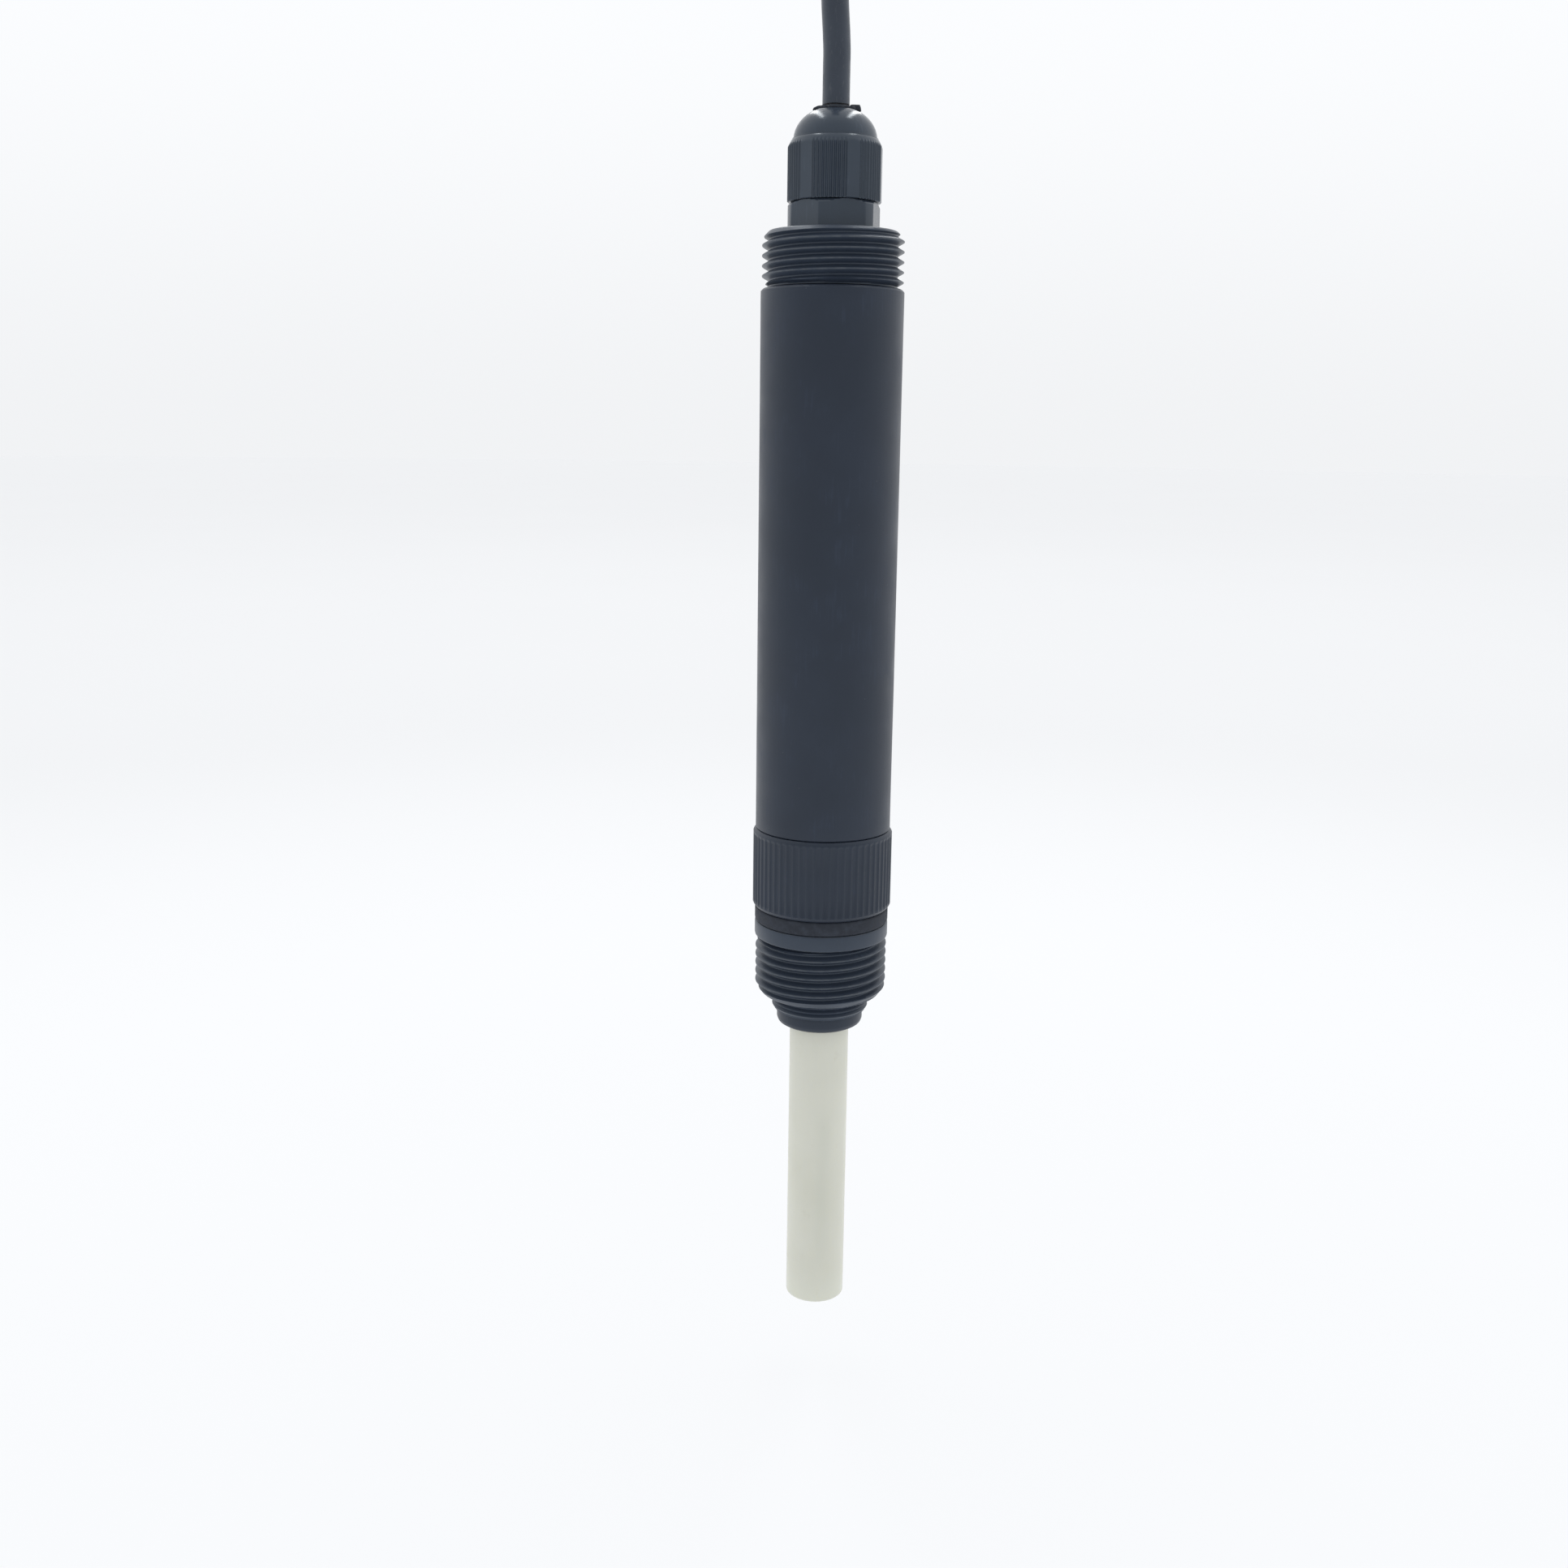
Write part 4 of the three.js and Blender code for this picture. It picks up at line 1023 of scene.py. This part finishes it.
def make_split_ring():
    bottom, top, radius = levels("split_thrust_ring")
    gap = 0.19

    def outline(angle):
        return fillet([(9.6, bottom), (radius, bottom), (radius, top), (9.6, top)], 0.2)

    rows = len(outline(0))
    columns = 180
    points = []
    for column in range(columns + 1):
        angle = gap / 2 + (TURN - gap) * column / columns
        points += [(*polar(r, angle), z) for r, z in outline(angle)]
    faces = []
    for a in range(0, columns * rows, rows):
        for row in range(rows):
            after = (row + 1) % rows
            faces.append((a + row, a + rows + row, a + rows + after, a + after))
    faces += [tuple(range(rows)), tuple(columns * rows + r for r in range(rows))]
    return stand_for(make_mesh("split_ring", points, faces), "split_thrust_ring")


make_collar()
make_gasket()
make_lower_fitting()
make_retainer()
make_split_ring()
o_ring("housing_seal_ring", "housing_o_ring", 0.52)
o_ring("head_seal_ring", "head_o_ring", 0.55)
o_ring("tip_seal_ring", "tip_o_ring", 0.55)


# ---- Electrode ----
def make_sleeve():
    bottom, top, radius = levels("electrode_sleeve")
    sleeve = turned("white_sleeve", [
        (ROD_BORE, bottom, 0.25), (radius, bottom, 1.1), (radius, top, 0.3), (ROD_BORE, top, 0.1)], 192)
    add_rings(sleeve, bottom + 1.5, top, 30)
    return stand_for(sleeve, "electrode_sleeve")


def make_bulb():
    """Thin round pH membrane blown on the end of the glass stem."""
    bottom, top, radius = levels("glass_bulb")
    centre = bottom + radius
    wall = 0.45
    neck = 3.3
    outer_neck = math.degrees(math.acos(neck / radius))
    inner_neck = math.degrees(math.acos((neck - wall) / (radius - wall)))
    rows = arc(radius, radius, centre, -90, outer_neck, 28) + [(neck, top), (neck - wall, top)]
    rows += arc(radius - wall, radius - wall, centre, inner_neck, -90, 28)
    bulb = swept("ph_membrane", 96, lambda angle: rows, 60)
    return stand_for(bulb, "glass_bulb")


def make_stem():
    bottom, top, radius = levels("glass_stem")
    stem = turned("stem_tube", [(2.5, bottom, 0.1), (radius, bottom, 0.1), (radius, top), (2.5, top)], 96)
    return stand_for(stem, "glass_stem")


def make_junction():
    bottom, top, radius = levels("junction_ring")
    ring = turned("porous_junction", [(3.6, bottom), (radius, bottom, 0.3), (radius, top), (3.6, top)], 96)
    return stand_for(ring, "junction_ring")


make_sleeve()
make_bulb()
make_stem()
make_junction()


# ---- Floor and light ----
FLOOR_DROP = 17  # the floor lies this far below the electrode's tip, in millimetres
FLOOR_RADIUS = 9  # this and the lamps' sizes are in metres
STRIP_WIDTH = 0.12
STRIP_LENGTH = 2.2
STRIP_PLACE = (0.47, 1.1, 1.1)
STRIP_POWER = 6.5
# White of the room's light, and of the glow painted on the floor.
PAPER = (0.97, 0.982, 1.0)


def make_floor():
    tip = levels("electrode_sleeve")[0]
    height = (tip - FLOOR_DROP) * MM
    bpy.ops.mesh.primitive_circle_add(vertices=96, radius=FLOOR_RADIUS, fill_type="NGON",
                                      location=(0, 0, height))
    floor = bpy.context.object
    floor.name = "floor"
    look = Finish("floor_with_painted_glow", Specular_IOR_Level=0.1, Roughness=0.8)
    look.feed("Base Color", look.colours(look.noise(400, 2), (0.125, 0.127, 0.13), (0.135, 0.137, 0.14)))
    # The floor glows, painted light: brightest near the sensor, dimmer far off and on the viewer's side.
    look.shader.inputs["Emission Color"].default_value = (*PAPER, 1)
    far = look.ramp(look.radius(), 0.25, 0.8, 0.825, 0.738)
    behind = look.ramp(look.split()[1], -4, -0.8, 0.68, 1)
    look.feed("Emission Strength", look.math("MULTIPLY", far, behind))
    look.bump((look.noise(2, 2), 0.01))
    floor.data.materials.append(look.material)


def make_world():
    """Bright white room, a little darker near the horizon and on the viewer's side."""
    world = bpy.data.worlds.new("white_room")
    world.use_nodes = True
    bpy.context.scene.world = world
    tree = world.node_tree
    back = tree.nodes["Background"]
    place = tree.nodes.new("ShaderNodeTexCoord")
    split = tree.nodes.new("ShaderNodeSeparateXYZ")
    tree.links.new(place.outputs["Generated"], split.inputs["Vector"])
    parts = []
    for axis, reach in (("Y", (-0.9, 0.2, 0.65, 1.0)), ("Z", (-0.02, 0.24, 0.91, 1.0))):
        spread = tree.nodes.new("ShaderNodeMapRange")
        spread.interpolation_type = "SMOOTHSTEP"
        for socket, value in zip(("From Min", "From Max", "To Min", "To Max"), reach):
            spread.inputs[socket].default_value = value
        tree.links.new(split.outputs[axis], spread.inputs["Value"])
        parts.append(spread.outputs["Result"])
    product = tree.nodes.new("ShaderNodeMath")
    product.operation = "MULTIPLY"
    for part, socket in zip(parts, product.inputs):
        tree.links.new(part, socket)
    tree.links.new(product.outputs["Value"], back.inputs["Strength"])
    back.inputs["Color"].default_value = (*PAPER, 1)


def make_strip(name, side):
    """A long ceiling lamp that runs away from the viewer, on one side of the sensor."""
    data = bpy.data.lights.new(name, "AREA")
    data.energy = STRIP_POWER
    data.shape = "RECTANGLE"
    data.size = STRIP_WIDTH
    data.size_y = STRIP_LENGTH
    lamp = bpy.data.objects.new(name, data)
    bpy.context.scene.collection.objects.link(lamp)
    x, y, z = STRIP_PLACE
    lamp.location = (side * x, y, z)


make_floor()
make_world()
make_strip("left_strip", -1)
make_strip("right_strip", 1)

scene = bpy.context.scene
scene.view_settings.view_transform = "Standard"
scene.view_settings.look = "None"
